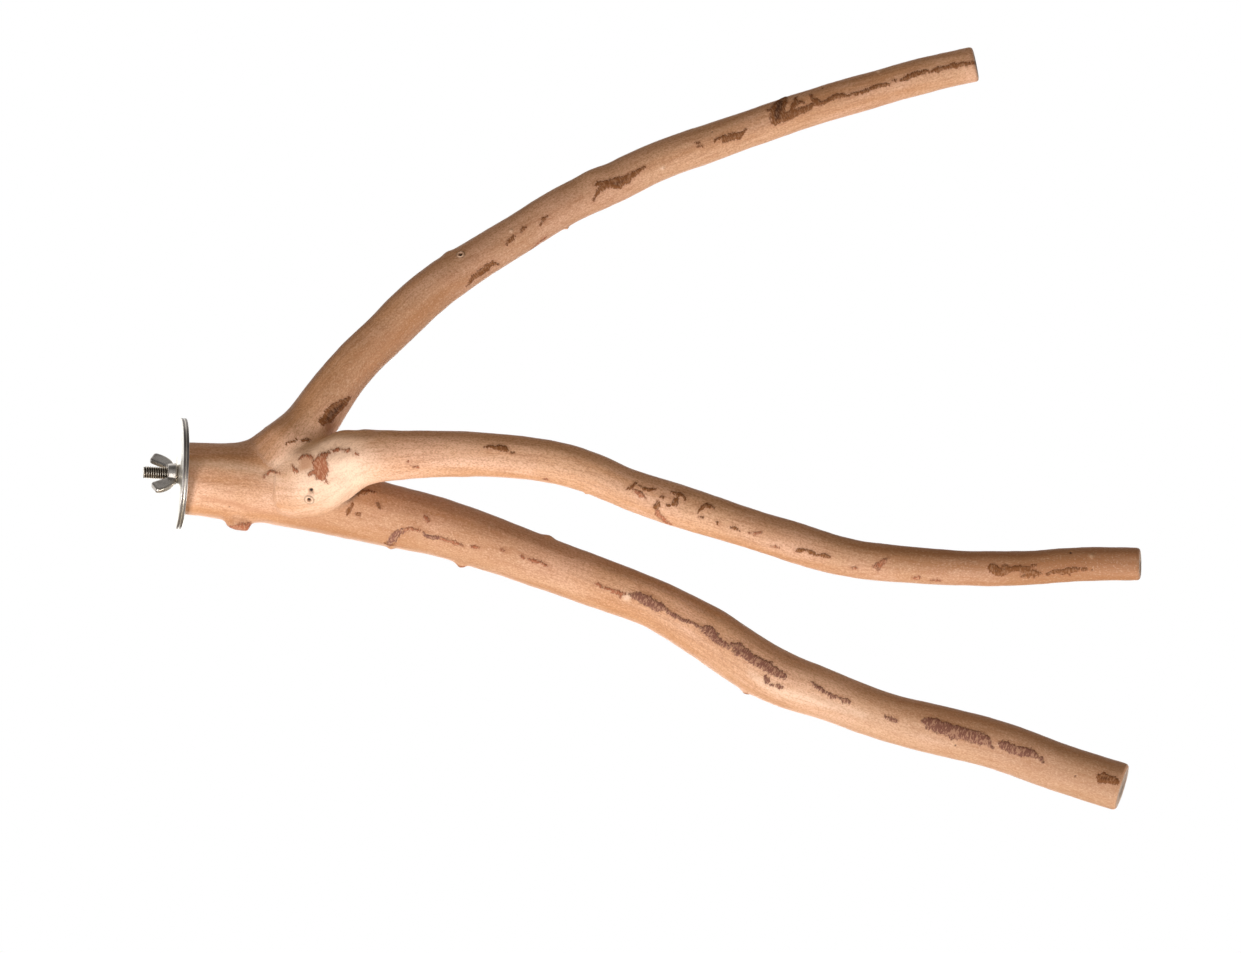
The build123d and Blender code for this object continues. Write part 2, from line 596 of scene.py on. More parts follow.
def remeshed(bm: BMesh, voxel: float) -> BMesh:
    """Melt overlapping closed shells into one even skin.

    Args:
        bm: The shells. It is freed.
        voxel: The size of the new faces.

    Returns:
        A bmesh of the skin.
    """
    rough = bpy.data.meshes.new("shells")
    bm.to_mesh(rough)
    bm.free()
    holder = bpy.data.objects.new("shells", rough)
    bpy.context.scene.collection.objects.link(holder)
    melt = holder.modifiers.new("melt", "REMESH")
    melt.mode = "VOXEL"
    melt.voxel_size = voxel
    skin = bpy.data.meshes.new_from_object(holder.evaluated_get(bpy.context.evaluated_depsgraph_get()))
    bpy.data.objects.remove(holder)
    bpy.data.meshes.remove(rough)
    out = bmesh.new()
    out.from_mesh(skin)
    bpy.data.meshes.remove(skin)
    return out


def smooth(bm: BMesh, verts: list[BMVert], times: int, factor: float = 0.5) -> None:
    """Relax vertices towards their neighbours.

    Args:
        bm: The bmesh.
        verts: The vertices to relax.
        times: How often.
        factor: How far each time.
    """
    for _ in range(times):
        bmesh.ops.smooth_vert(
            bm, verts=verts, factor=factor, use_axis_x=True, use_axis_y=True, use_axis_z=True
        )


def pushed(bm: BMesh, face: BMFace, matrix: Matrix) -> BMFace:
    """Extrude a face and move its new rim.

    Args:
        bm: The bmesh.
        face: The face to extrude.
        matrix: How the new face moves.

    Returns:
        The new face.
    """
    made = bmesh.ops.extrude_face_region(bm, geom=[face])["geom"]
    rim = [part for part in made if isinstance(part, BMVert)]
    bmesh.ops.transform(bm, matrix=matrix, verts=rim)
    return next(part for part in made if isinstance(part, BMFace))


def add_turned(bm: BMesh, outline: list[tuple[float, float]], steps: int) -> None:
    """Turn a closed outline about the bolt's axis.

    Args:
        bm: The bmesh to add to, which is still empty.
        outline: Places along the bolt and radii.
        steps: The number of faces round the axis.
    """
    verts = [bm.verts.new((x, 0.0, r)) for x, r in outline]
    edges = [bm.edges.new(pair) for pair in zip(verts, verts[1:] + verts[:1])]
    bmesh.ops.spin(
        bm,
        geom=[*verts, *edges],
        cent=(0, 0, 0),
        axis=(1, 0, 0),
        angle=math.tau,
        steps=steps,
        use_merge=True,
    )
    bmesh.ops.remove_doubles(bm, verts=bm.verts, dist=WELD)


def add_part(bm: BMesh, part: BMesh) -> None:
    """Add a part to a bmesh, and free the part.

    Args:
        bm: The bmesh to add to.
        part: The part.
    """
    shell = bpy.data.meshes.new("part")
    part.to_mesh(shell)
    part.free()
    bm.from_mesh(shell)
    bpy.data.meshes.remove(shell)


class Station(NamedTuple):
    """One round section of a limb, in per cent of the branch's length, spread and height and of the butt."""

    along: float
    side: float
    up: float
    girth: float


@dataclass(frozen=True)
class BranchSizes:
    """The branch's main sizes, as the CAD part has them."""

    length: float = 414 * MM
    spread: float = 145 * MM
    height: float = 323 * MM
    butt: float = 32 * MM
    foot: float = 1.3 * MM

    def place(self, station: Station) -> tuple[float, float, float]:
        """Find a station's centre.

        Args:
            station: The station.

        Returns:
            The centre in the object's frame.
        """
        return (
            self.foot + station.along * self.length / 100,
            station.side * self.spread / 100,
            station.up * self.height / 100,
        )

    def width(self, share: float) -> float:
        """Work out a width that is stated in per cent of the butt's diameter.

        Args:
            share: The per cent.

        Returns:
            The width in metres.
        """
        return share * self.butt / 100


@dataclass
class Limb:
    """One limb of the fork: its centre line, its radius, and a frame that travels along it."""

    stations: list[Station]
    sizes: BranchSizes
    first_run: Optional[Vector] = None
    steps: int = 10
    sides: int = 48
    overrun: float = 4 * MM

    def __post_init__(self) -> None:
        """Sample the limb evenly between its stations."""
        rows = np.array([(*self.sizes.place(s), self.sizes.width(s.girth) / 2) for s in self.stations])
        fine = self._through(rows)
        self.centre, self.radius = fine[:, :3], fine[:, 3]
        run = np.gradient(self.centre, axis=0)
        if self.first_run is not None:
            run[0] = self.first_run
        self.run = run / np.linalg.norm(run, axis=1)[:, None]
        viewer = np.array((0.0, -1.0, 0.0))
        front = viewer - self.run * (self.run @ viewer)[:, None]
        self.front = front / np.linalg.norm(front, axis=1)[:, None]
        self.top = np.cross(self.front, self.run)
        pieces = np.linalg.norm(np.diff(self.centre, axis=0), axis=1)
        self.along = np.concatenate(([0.0], np.cumsum(pieces)))
        self.tree = kdtree.KDTree(len(self.centre))
        for index, point in enumerate(self.centre):
            self.tree.insert(point, index)
        self.tree.balance()

    def _through(self, rows: Array) -> Array:
        """Draw a smooth line through rows of numbers.

        Args:
            rows: One row per station.

        Returns:
            Rows along the line, a fixed count per stretch.
        """
        padded = np.vstack((2 * rows[0] - rows[1], rows, 2 * rows[-1] - rows[-2]))
        share = (np.arange(self.steps) / self.steps)[:, None]
        out = []
        for a, b, c, d in zip(padded, padded[1:], padded[2:], padded[3:]):
            square, cube = share**2, share**3
            bend = (2 * a - 5 * b + 4 * c - d) * square + (3 * b - a - 3 * c + d) * cube
            out.append(b + 0.5 * ((c - a) * share + bend))
        return np.vstack((*out, rows[-1:]))

    def ring(self, index: int, shift: float = 0.0) -> Matrix:
        """The place of a round section, as a matrix for a circle of radius 1.

        Args:
            index: Which sample.
            shift: How far the section is moved along the run.

        Returns:
            The matrix.
        """
        radius = self.radius[index]
        columns = np.column_stack((self.front[index] * radius, self.top[index] * radius, self.run[index]))
        made = Matrix([list(row) for row in columns]).to_4x4()
        made.translation = Vector(self.centre[index] + self.run[index] * shift)
        return made

    def add_tube(self, bm: BMesh, early: bool) -> None:
        """Add the limb as a closed tube that runs a little past its sawn end.

        Args:
            bm: The bmesh to add to.
            early: Whether the tube also starts before its first station.
        """
        last = len(self.centre) - 1
        places = [self.ring(i) for i in range(0, last + 1, 2)]
        places.append(self.ring(last, self.overrun))
        if early:
            places.insert(0, self.ring(0, -self.overrun))
        start = bmesh.ops.create_circle(
            bm, cap_ends=True, segments=self.sides, radius=1.0, matrix=places[0]
        )
        cap = start["verts"][0].link_faces[0]
        for before, after in zip(places, places[1:]):
            cap = pushed(bm, cap, after @ before.inverted())

    def locate(self, points: Array) -> tuple[Array, Array, Array, Array]:
        """Find where points lie along and round the limb.

        Args:
            points: One point per row.

        Returns:
            The distance along, the offsets to the front and to the top, and the distance from the centre
            line in radii.
        """
        near = np.array([self.tree.find(p)[1] for p in points])
        off = points - self.centre[near]
        ahead = np.einsum("ij,ij->i", off, self.run[near])
        along = self.along[near] + ahead
        front = np.einsum("ij,ij->i", off, self.front[near])
        top = np.einsum("ij,ij->i", off, self.top[near])
        past = np.where((along < 0) | (along > self.along[-1]), ahead, 0.0)
        reach = np.sqrt(front**2 + top**2 + past**2)
        return along, front, top, reach / np.interp(along, self.along, self.radius)

    def point(self, along: float, turn: float) -> Vector:
        """A point on the limb's skin.

        Args:
            along: The distance along the limb.
            turn: The angle in degrees from the front towards the top.

        Returns:
            The point.
        """
        index = int(np.abs(self.along - along).argmin())
        a = math.radians(turn)
        out = self.front[index] * math.cos(a) + self.top[index] * math.sin(a)
        ahead = self.run[index] * (along - self.along[index])
        return Vector(self.centre[index] + ahead + out * self.radius[index])


class Twig(NamedTuple):
    """A short stub of a cut side twig: its foot on the limb's axis, lean, reach and girth at the cut."""

    foot: Station
    lean: tuple[float, float, float]
    reach: float
    cut_girth: float


class KnotKind(Enum):
    """The kinds of small round marks on the wood."""

    RING = "pale swollen ring round a dark pit"
    PIT = "dark pit"
    PIN = "small pale swelling"
    BUMP = "swelling or dent in the wood's own colour"


class Knot(NamedTuple):
    """A round mark: its place in mm along and degrees round a limb, its radius and its relief in mm."""

    arm: Arm
    along: float
    turn: float
    radius: float
    relief: float
    kind: KnotKind


class Strip(NamedTuple):
    """A strip of bark: places in mm along and degrees round a limb, with the width in mm at each."""

    course: tuple[tuple[float, float, float], ...]
    kind: Bark = Bark.DARK

    def depth(self, along: Array, turn: Array, radius: Array) -> Array:
        """Measure how deep places lie inside the strip.

        Args:
            along: Their distances along the limb in mm.
            turn: Their angles round it in degrees.
            radius: Their distances from its centre line in mm.

        Returns:
            The depths in mm, below 0 outside the strip.
        """
        deepest = np.full(len(along), FAR_OUTSIDE)
        for first, last in zip(self.course, self.course[1:]):
            start, first_turn, first_width = first
            end, last_turn, last_width = last
            across = (turn - first_turn + 180) % 360 - 180
            x, y = along - start, np.radians(across) * radius
            dx, dy = end - start, math.radians(last_turn - first_turn) * radius
            share = np.clip((x * dx + y * dy) / (dx * dx + dy * dy), 0.0, 1.0)
            half = (first_width + (last_width - first_width) * share) / 2
            deepest = np.maximum(deepest, half - np.hypot(x - share * dx, y - share * dy))
        return deepest


class Spots(NamedTuple):
    """Points on the branch as each limb sees them, one row per limb, and which limb is nearest to each."""

    points: Array
    along: Array
    front: Array
    top: Array
    reach: Array
    owner: Array


# The limbs' round sections and the cut twigs, as the CAD part has them
LOWER_STATIONS = [
    Station(0, 0, -0.5, 100),
    Station(7, 0, -0.5, 112),
    Station(13.5, 0.5, -1.5, 105),
    Station(20, 0, -3.5, 92),
    Station(27, -1.5, -5, 84),
    Station(33, -3, -7, 79),
    Station(39.5, -5.5, -9.5, 74),
    Station(46, -8.5, -12, 71),
    Station(52, -12, -14.5, 71),
    Station(58, -16, -18.5, 77),
    Station(64, -21, -23, 79),
    Station(70, -27, -25.5, 72),
    Station(76, -34, -28, 69),
    Station(82, -41, -29.5, 70),
    Station(88, -48, -31, 69),
    Station(94, -56, -33.5, 68),
    Station(100, -65, -35.5, 67),
]

MIDDLE_STATIONS = [
    Station(9.5, -1.5, -1, 88),
    Station(13.5, -7, 0, 94),
    Station(18, -15.5, 3.5, 80),
    Station(23, -24, 4.5, 67),
    Station(28.5, -31.5, 5, 64),
    Station(34, -38, 5, 60),
    Station(40, -44, 4, 58),
    Station(45.5, -48, 1.5, 56),
    Station(51, -52, -0.5, 59),
    Station(57, -55.5, -2.5, 55),
    Station(63, -59, -4.5, 56),
    Station(68.5, -62, -6, 53),
    Station(74.5, -66, -6.5, 51),
    Station(80.5, -71, -6.5, 50),
    Station(86, -77, -6, 48),
    Station(91.5, -84, -5, 48),
    Station(97, -91.5, -4.5, 45),
]

UPPER_STATIONS = [
    Station(8.5, -0.5, 0, 94),
    Station(11, -0.5, 4, 96),
    Station(14, 0.5, 9.5, 75),
    Station(17.5, 2.5, 16, 64),
    Station(21.5, 4.5, 21.5, 64),
    Station(26, 6, 27.5, 64),
    Station(30.5, 7.5, 32, 61),
    Station(35.5, 8.5, 36.5, 58),
    Station(40.5, 8.5, 41, 57),
    Station(45.5, 8, 44.5, 58),
    Station(51, 6.5, 48.5, 57),
    Station(56.5, 4.5, 51.5, 55),
    Station(62, 1.5, 54.5, 54),
    Station(67.5, -3, 57.5, 53),
    Station(73, -7.5, 60, 52),
    Station(78.5, -13.5, 62.5, 52),
    Station(84, -20, 64.5, 51),
]

TWIGS = [
    Twig(Station(7, -0.7, -0.6, 53), (-0.22, -0.2, -1), 67, 33),
    Twig(Station(30.2, -2.1, -5.9, 28), (0.1, -0.1, -1), 50, 11),
    Twig(Station(62.1, -19.3, -21.4, 28), (-0.1, -0.1, -1), 50, 9),
]

# Knots, pits and swellings, with guesses on the back
KNOTS = [
    Knot(Arm.MIDDLE, 20, -23, 2.1, 0.5, KnotKind.RING),
    Knot(Arm.UPPER, 135, 42, 1.9, 0.5, KnotKind.RING),
    Knot(Arm.LOWER, 300, 160, 2.4, 0.6, KnotKind.RING),
    Knot(Arm.UPPER, 90, 150, 2.2, 0.6, KnotKind.RING),
    Knot(Arm.MIDDLE, 130, 170, 1.9, 0.5, KnotKind.RING),
    Knot(Arm.MIDDLE, 23, -7, 2.2, 1.2, KnotKind.PIT),
    Knot(Arm.MIDDLE, 367, 50, 1.2, 0.5, KnotKind.PIT),
    Knot(Arm.MIDDLE, 376, -18, 0.8, 0.5, KnotKind.PIT),
    Knot(Arm.UPPER, 321, 60, 0.9, 0.5, KnotKind.PIT),
    Knot(Arm.UPPER, 266, 32, 0.7, 0.4, KnotKind.PIT),
    Knot(Arm.LOWER, 428, -8, 0.9, 0.5, KnotKind.PIT),
    Knot(Arm.LOWER, 372, -25, 0.8, 0.4, KnotKind.PIT),
    Knot(Arm.LOWER, 20, -42, 0.7, 0.3, KnotKind.PIT),
    Knot(Arm.UPPER, 161, 22, 0.9, 0.3, KnotKind.PIN),
    Knot(Arm.UPPER, 238, -22, 0.9, 0.35, KnotKind.PIN),
    Knot(Arm.UPPER, 348, 62, 1.0, 0.45, KnotKind.PIN),
    Knot(Arm.LOWER, 208, -10, 2.0, 0.2, KnotKind.PIN),
    Knot(Arm.MIDDLE, 376, 30, 1.2, 0.3, KnotKind.PIN),
    Knot(Arm.UPPER, 186, -86, 1.0, 0.8, KnotKind.BUMP),
    Knot(Arm.UPPER, 132, 86, 2.5, 0.7, KnotKind.BUMP),
    Knot(Arm.UPPER, 103, 65, 10.0, 0.7, KnotKind.BUMP),
    Knot(Arm.UPPER, 207, 75, 7.0, 1.0, KnotKind.BUMP),
    Knot(Arm.MIDDLE, 152, -84, 1.0, 0.6, KnotKind.BUMP),
    Knot(Arm.LOWER, 98, -82, 1.8, 1.0, KnotKind.BUMP),
    Knot(Arm.LOWER, 166, 80, 2.6, 0.9, KnotKind.BUMP),
    Knot(Arm.LOWER, 250, 85, 9.0, 0.7, KnotKind.BUMP),
    Knot(Arm.MIDDLE, 55, 20, 7.0, 0.6, KnotKind.BUMP),
    Knot(Arm.MIDDLE, 24, 56, 9.0, 2.6, KnotKind.BUMP),
    Knot(Arm.LOWER, 38, 86, 12.0, 2.0, KnotKind.BUMP),
    Knot(Arm.UPPER, 30, 88, 10.0, -1.8, KnotKind.BUMP),
    Knot(Arm.UPPER, 20, 88, 6.0, -1.2, KnotKind.BUMP),
    Knot(Arm.LOWER, 17, 88, 9.0, -0.8, KnotKind.BUMP),
    Knot(Arm.MIDDLE, 40, 86, 9.0, 1.6, KnotKind.BUMP),
]

# Bark left on each limb, with guesses on the back
UPPER_BARK = [
    Strip(((35, -14, 3), (38, -20, 6), (42, -23, 6.4), (45, -28, 5.6), (48, -35, 4), (52, -44, 1.4))),
    Strip(((33, -28, 1.2), (35, -38, 2.4), (38, -48, 2)), Bark.STAIN_AND_SHADE),
    # painted light over the shade of the crease at the upper arm's root
    Strip(((8, -4, 4), (14, -8, 7), (20, -14, 7), (26, -28, 5)), Bark.PALE_AND_LIGHT),
    Strip(((17, 13, 0.8), (19.5, 9, 1.4), (21, 6, 1))),
    Strip(((22, -5, 1), (23.5, -10, 1.4), (24, -14, 0.8))),
    Strip(
        ((129, -48, 0.8), (133, -36, 2.4), (138, -36, 3.4), (142, -33, 4), (145, -30, 2.6), (148, -45, 0.8)),
    ),
    Strip(((132, -38, 1.5), (133.5, -25, 1))),
    Strip(((155, -4, 0.8), (158, 0, 2), (160.5, 3, 1.2))),
    Strip(((164, 4, 0.8), (166, 8, 1.6), (168, 8, 0.8))),
    Strip(((174, -8, 0.8), (176, -1, 1.6), (179.5, 3, 1))),
    Strip(((166, -72, 0.8), (170, -62, 1.6), (174, -55, 0.9)), Bark.RED),
    Strip(((206, 16, 1), (209, 12, 3), (212, 5, 3.6), (216, -4, 5.6), (219, -5, 4.4), (223, -3, 2.6))),
    Strip(((223, -3, 2.6), (227, 0, 2), (231, 1, 0.8))),
    Strip(((202, -22, 0.8), (204, -10, 1.4), (207, 2, 2.2), (210, 6, 2.5))),
    Strip(((205, 15, 0.8), (207.5, 20, 1.4), (210, 16, 1.6))),
    Strip(((256.5, 13, 0.9), (258, 11, 0.8))),
    Strip(((257, 1, 0.8), (259, -2, 0.9))),
    Strip(((265, 0, 0.8), (268, 5, 1.3), (271, 3, 1.4))),
    Strip(((269, -8, 1.6), (273, -4, 3.4), (276, -6, 3.6), (278.5, -5, 2), (281, 1, 0.8))),
    Strip(((303, 78, 3.6), (301, 55, 6), (299, 30, 7), (297, 8, 6.5), (295, -5, 3))),
    Strip(((294, 38, 1.2), (297, 30, 2.5))),
    Strip(((299, -2, 3.5), (304, -2, 4), (308, 0, 3.2), (312, 3, 2.6), (316, 4, 1.8), (321, 3, 1.6))),
    Strip(((305, 12, 2.4), (307, 30, 2.4), (308.5, 48, 1.2))),
    Strip(((309, 28, 1.6), (311, 22, 0.8))),
    Strip(((314.5, 42, 0.9), (315, 25, 1.8), (317, 10, 2), (319, 8, 1))),
    Strip(((321, 5, 1.2), (324, 10, 2.6), (326.5, 12, 2.2), (329, 6, 2), (331, 2, 1.4))),
    Strip(((331, 3, 1.4), (334, 2, 1.6), (337, 2, 1.2), (341, 2, 1.6))),
    Strip(((342, 4, 1.2), (345, 6, 2), (348, 4, 1.6), (352, 2, 1))),
    Strip(((353, 7, 0.8), (354.5, 6, 0.8))),
    Strip(((356, 2, 1), (359, 4, 1.8), (361, 9, 2.8), (364, 10, 2.2), (367, 8, 1.4), (370, 9, 1.2))),
    Strip(
        (
            (371, 3, 1.2), (374, 5, 2.2), (377, 7, 1.6), (380, 8, 2.4),
            (384, 6, 2), (388, 4, 1.6), (392, 4, 1.2),
        ),
    ),
    Strip(((70, 168, 0.8), (74, 172, 2.4), (78, 178, 3.8), (82, 176, 2.6), (87, 181, 4.2), (93, 186, 1))),
    Strip(((84, 197, 0.8), (87, 201, 1.6), (90, 204, 0.8))),
    Strip(((140, 130, 0.8), (144, 136, 2.2), (148, 133, 1.2), (153, 140, 2.6), (159, 143, 0.8))),
    Strip(((188, 184, 0.8), (193, 180, 2.8), (197, 173, 4.4), (203, 178, 3), (209, 171, 3.8), (217, 168, 1))),
    Strip(((206, 188, 0.8), (210, 192, 1.8), (213, 190, 0.9))),
    Strip(((262, 150, 0.8), (267, 157, 2.6), (272, 152, 1.4), (279, 160, 3), (286, 158, 0.8))),
    Strip(
        ((318, 190, 0.8), (323, 187, 3), (329, 180, 2.2), (336, 185, 3.8), (344, 177, 1.6), (351, 175, 0.8)),
    ),
]

MIDDLE_BARK = [
    Strip(
        ((37, 38, 1.8), (35, 36, 3.8), (33, 29, 6), (32, 20, 7), (31, 12, 6), (31, 6, 3.4), (30, 2, 1.4)),
        Bark.RED,
    ),
    Strip(((30, 38, 1.4), (31.5, 32, 3)), Bark.RED),
    Strip(((25.5, 19, 1), (28.5, 19, 2.6), (31, 20, 4)), Bark.RED),
    Strip(((31.5, -4, 1), (31.5, -9, 0.8)), Bark.RED),
    # painted shade in the crease below the upper arm's root
    Strip(((23, 30, 2), (25.5, 36, 5), (28, 40, 5), (30, 40, 3)), Bark.STAIN_AND_SHADE),
    Strip(((24, 46, 0.9), (27, 50, 1.4), (29.5, 44, 1.2)), Bark.RED),
    Strip(((17, 36, 1.2), (18.5, 31, 2.4), (20.5, 27, 1.6)), Bark.RED),
    # painted light over the shade of the crease above the middle arm's root
    Strip(((6, 38, 5), (12, 40, 7), (18, 46, 7), (30, 54, 5)), Bark.PALE_AND_LIGHT),
    Strip(((39, 42, 1.2), (41, 34, 1.6), (43, 30, 1)), Bark.RED),
    Strip(((44.5, 27, 1.8), (46, 22, 1)), Bark.RED),
    Strip(((48, 14, 0.8), (49.5, 11, 0.8)), Bark.RED),
    Strip(((70.5, -17, 0.8), (71.5, -12, 0.9)), Bark.RED),
    Strip(((72.5, -28, 0.8), (74.5, -32, 1.1)), Bark.RED),
    Strip(((104.5, 20, 0.8), (107, 22, 2), (109, 18, 1.8))),
    Strip(((109.5, 20, 2.2), (112, 19, 2.8), (114, 15, 1))),
    Strip(((116, 8, 0.9), (117, 8, 0.8))),
    Strip(((131, -60, 0.8), (133, -58, 0.9)), Bark.RED),
    Strip(((171, 18, 0.8), (170, 8, 1.5), (168.5, -4, 1.2), (168, -10, 0.8))),
    Strip(((171, 0, 1), (173.5, -6, 2.2), (176.5, -10, 1.4)), Bark.RED),
    Strip(((173, 16, 0.8), (175.5, 12, 2.2), (177.5, 14, 1.4), (179.5, 20, 0.8))),
    Strip(((183.5, 6, 0.8), (184.5, 5, 0.9))),
    Strip(((182.5, -10, 0.8), (183, -20, 1.2), (182.5, -27, 2.2), (183, -33, 1))),
    Strip(((183, -33, 1), (184.5, -45, 2.4), (187.5, -60, 3), (190, -72, 1.6)), Bark.RED),
    Strip(((187, 26, 0.9), (190, 27, 2.6), (192.5, 25, 1.6), (193.5, 19, 0.8))),
    Strip(((190, 18, 1), (189.5, 8, 2), (190, 0, 2.4), (188.5, -7, 1))),
    Strip(((188.5, -7, 1.2), (187, -13, 0.8))),
    Strip(((201, 16, 1.6), (203, 22, 2.4), (205.5, 22, 1.2))),
    Strip(((201.5, 10, 1.8), (200.5, 3, 1.4), (200, -3, 0.8))),
    Strip(((201.5, -13, 0.8), (203, -16, 0.9))),
    Strip(((209, -15, 0.9), (210, -17, 0.8))),
    Strip(((216, -16, 0.9), (218, -17, 1.6), (219.5, -19, 0.8))),
    Strip(((224, -16, 0.8), (226, -13, 1), (228.5, -5, 0.8)), Bark.RED),
    Strip(((235, -32, 0.8), (238, -29, 1)), Bark.RED),
    Strip(((245.5, -24, 1), (247, -21, 1.7), (249.5, -14, 0.8))),
    Strip(((250.5, -15, 1.2), (252.5, -17, 2.1), (255, -18, 0.9))),
    Strip(((255.5, -17, 0.9), (257.5, -15, 1.6), (260, -11, 1.4))),
    Strip(((271, -28, 0.9), (273, -26, 1)), Bark.RED),
    Strip(((286, 12, 0.8), (284, 4, 1.2), (282, -10, 2.4), (280.5, -16, 1)), Bark.RED),
    Strip(((282, -14, 1.4), (282.5, -26, 0.9)), Bark.RED),
    Strip(((298, -42, 0.9), (300, -38, 1.3)), Bark.RED),
    Strip(((306.5, -47, 0.9), (309, -45, 1.5)), Bark.RED),
    Strip(
        ((331, 4, 1.6), (332.5, 4, 3.6), (334.5, -6, 3.8), (336.5, -10, 3.4), (338.5, -4, 3), (341, 1, 2.6)),
    ),
    Strip(((341, 1, 2.6), (344, 3, 2.2), (347, 3, 1.8), (349, 2, 0.8))),
    Strip(((336.5, 8, 1.2), (338.5, 8, 2), (340, 4, 1.6))),
    Strip(((346, -8, 2), (348.5, -14, 3.6), (351, -17, 3.4), (353.5, -17, 1.2))),
    Strip(((345, -27, 0.9), (347.5, -24, 1.8), (350, -22, 1.8))),
    Strip(((349.5, 9, 0.8), (351.5, 8, 0.9))),
    Strip(((356, -23, 0.9), (359, -17, 1.8), (362, -19, 2.4), (365, -19, 3), (367.5, -14, 2), (370, -12, 1))),
    Strip(((365.5, -20, 2), (366, -32, 0.8))),
    Strip(((371.5, -15, 1), (373.5, -16, 1.4))),
    Strip(((84, 150, 0.8), (88, 157, 2.2), (93, 154, 3), (98, 163, 1.4), (103, 165, 0.8))),
    Strip(
        (
            (150, 190, 0.8), (155, 188, 2.6), (159, 180, 3.4), (165, 186, 1.8),
            (171, 180, 2.4), (177, 177, 0.8),
        ),
    ),
    Strip(
        ((262, 175, 0.8), (268, 179, 2), (275, 170, 3.2), (283, 175, 1.6), (291, 167, 2.2), (298, 170, 0.8)),
    ),
    Strip(((340, 200, 0.8), (345, 197, 2.2), (351, 192, 2.8), (357, 196, 1.2), (362, 190, 0.8))),
]

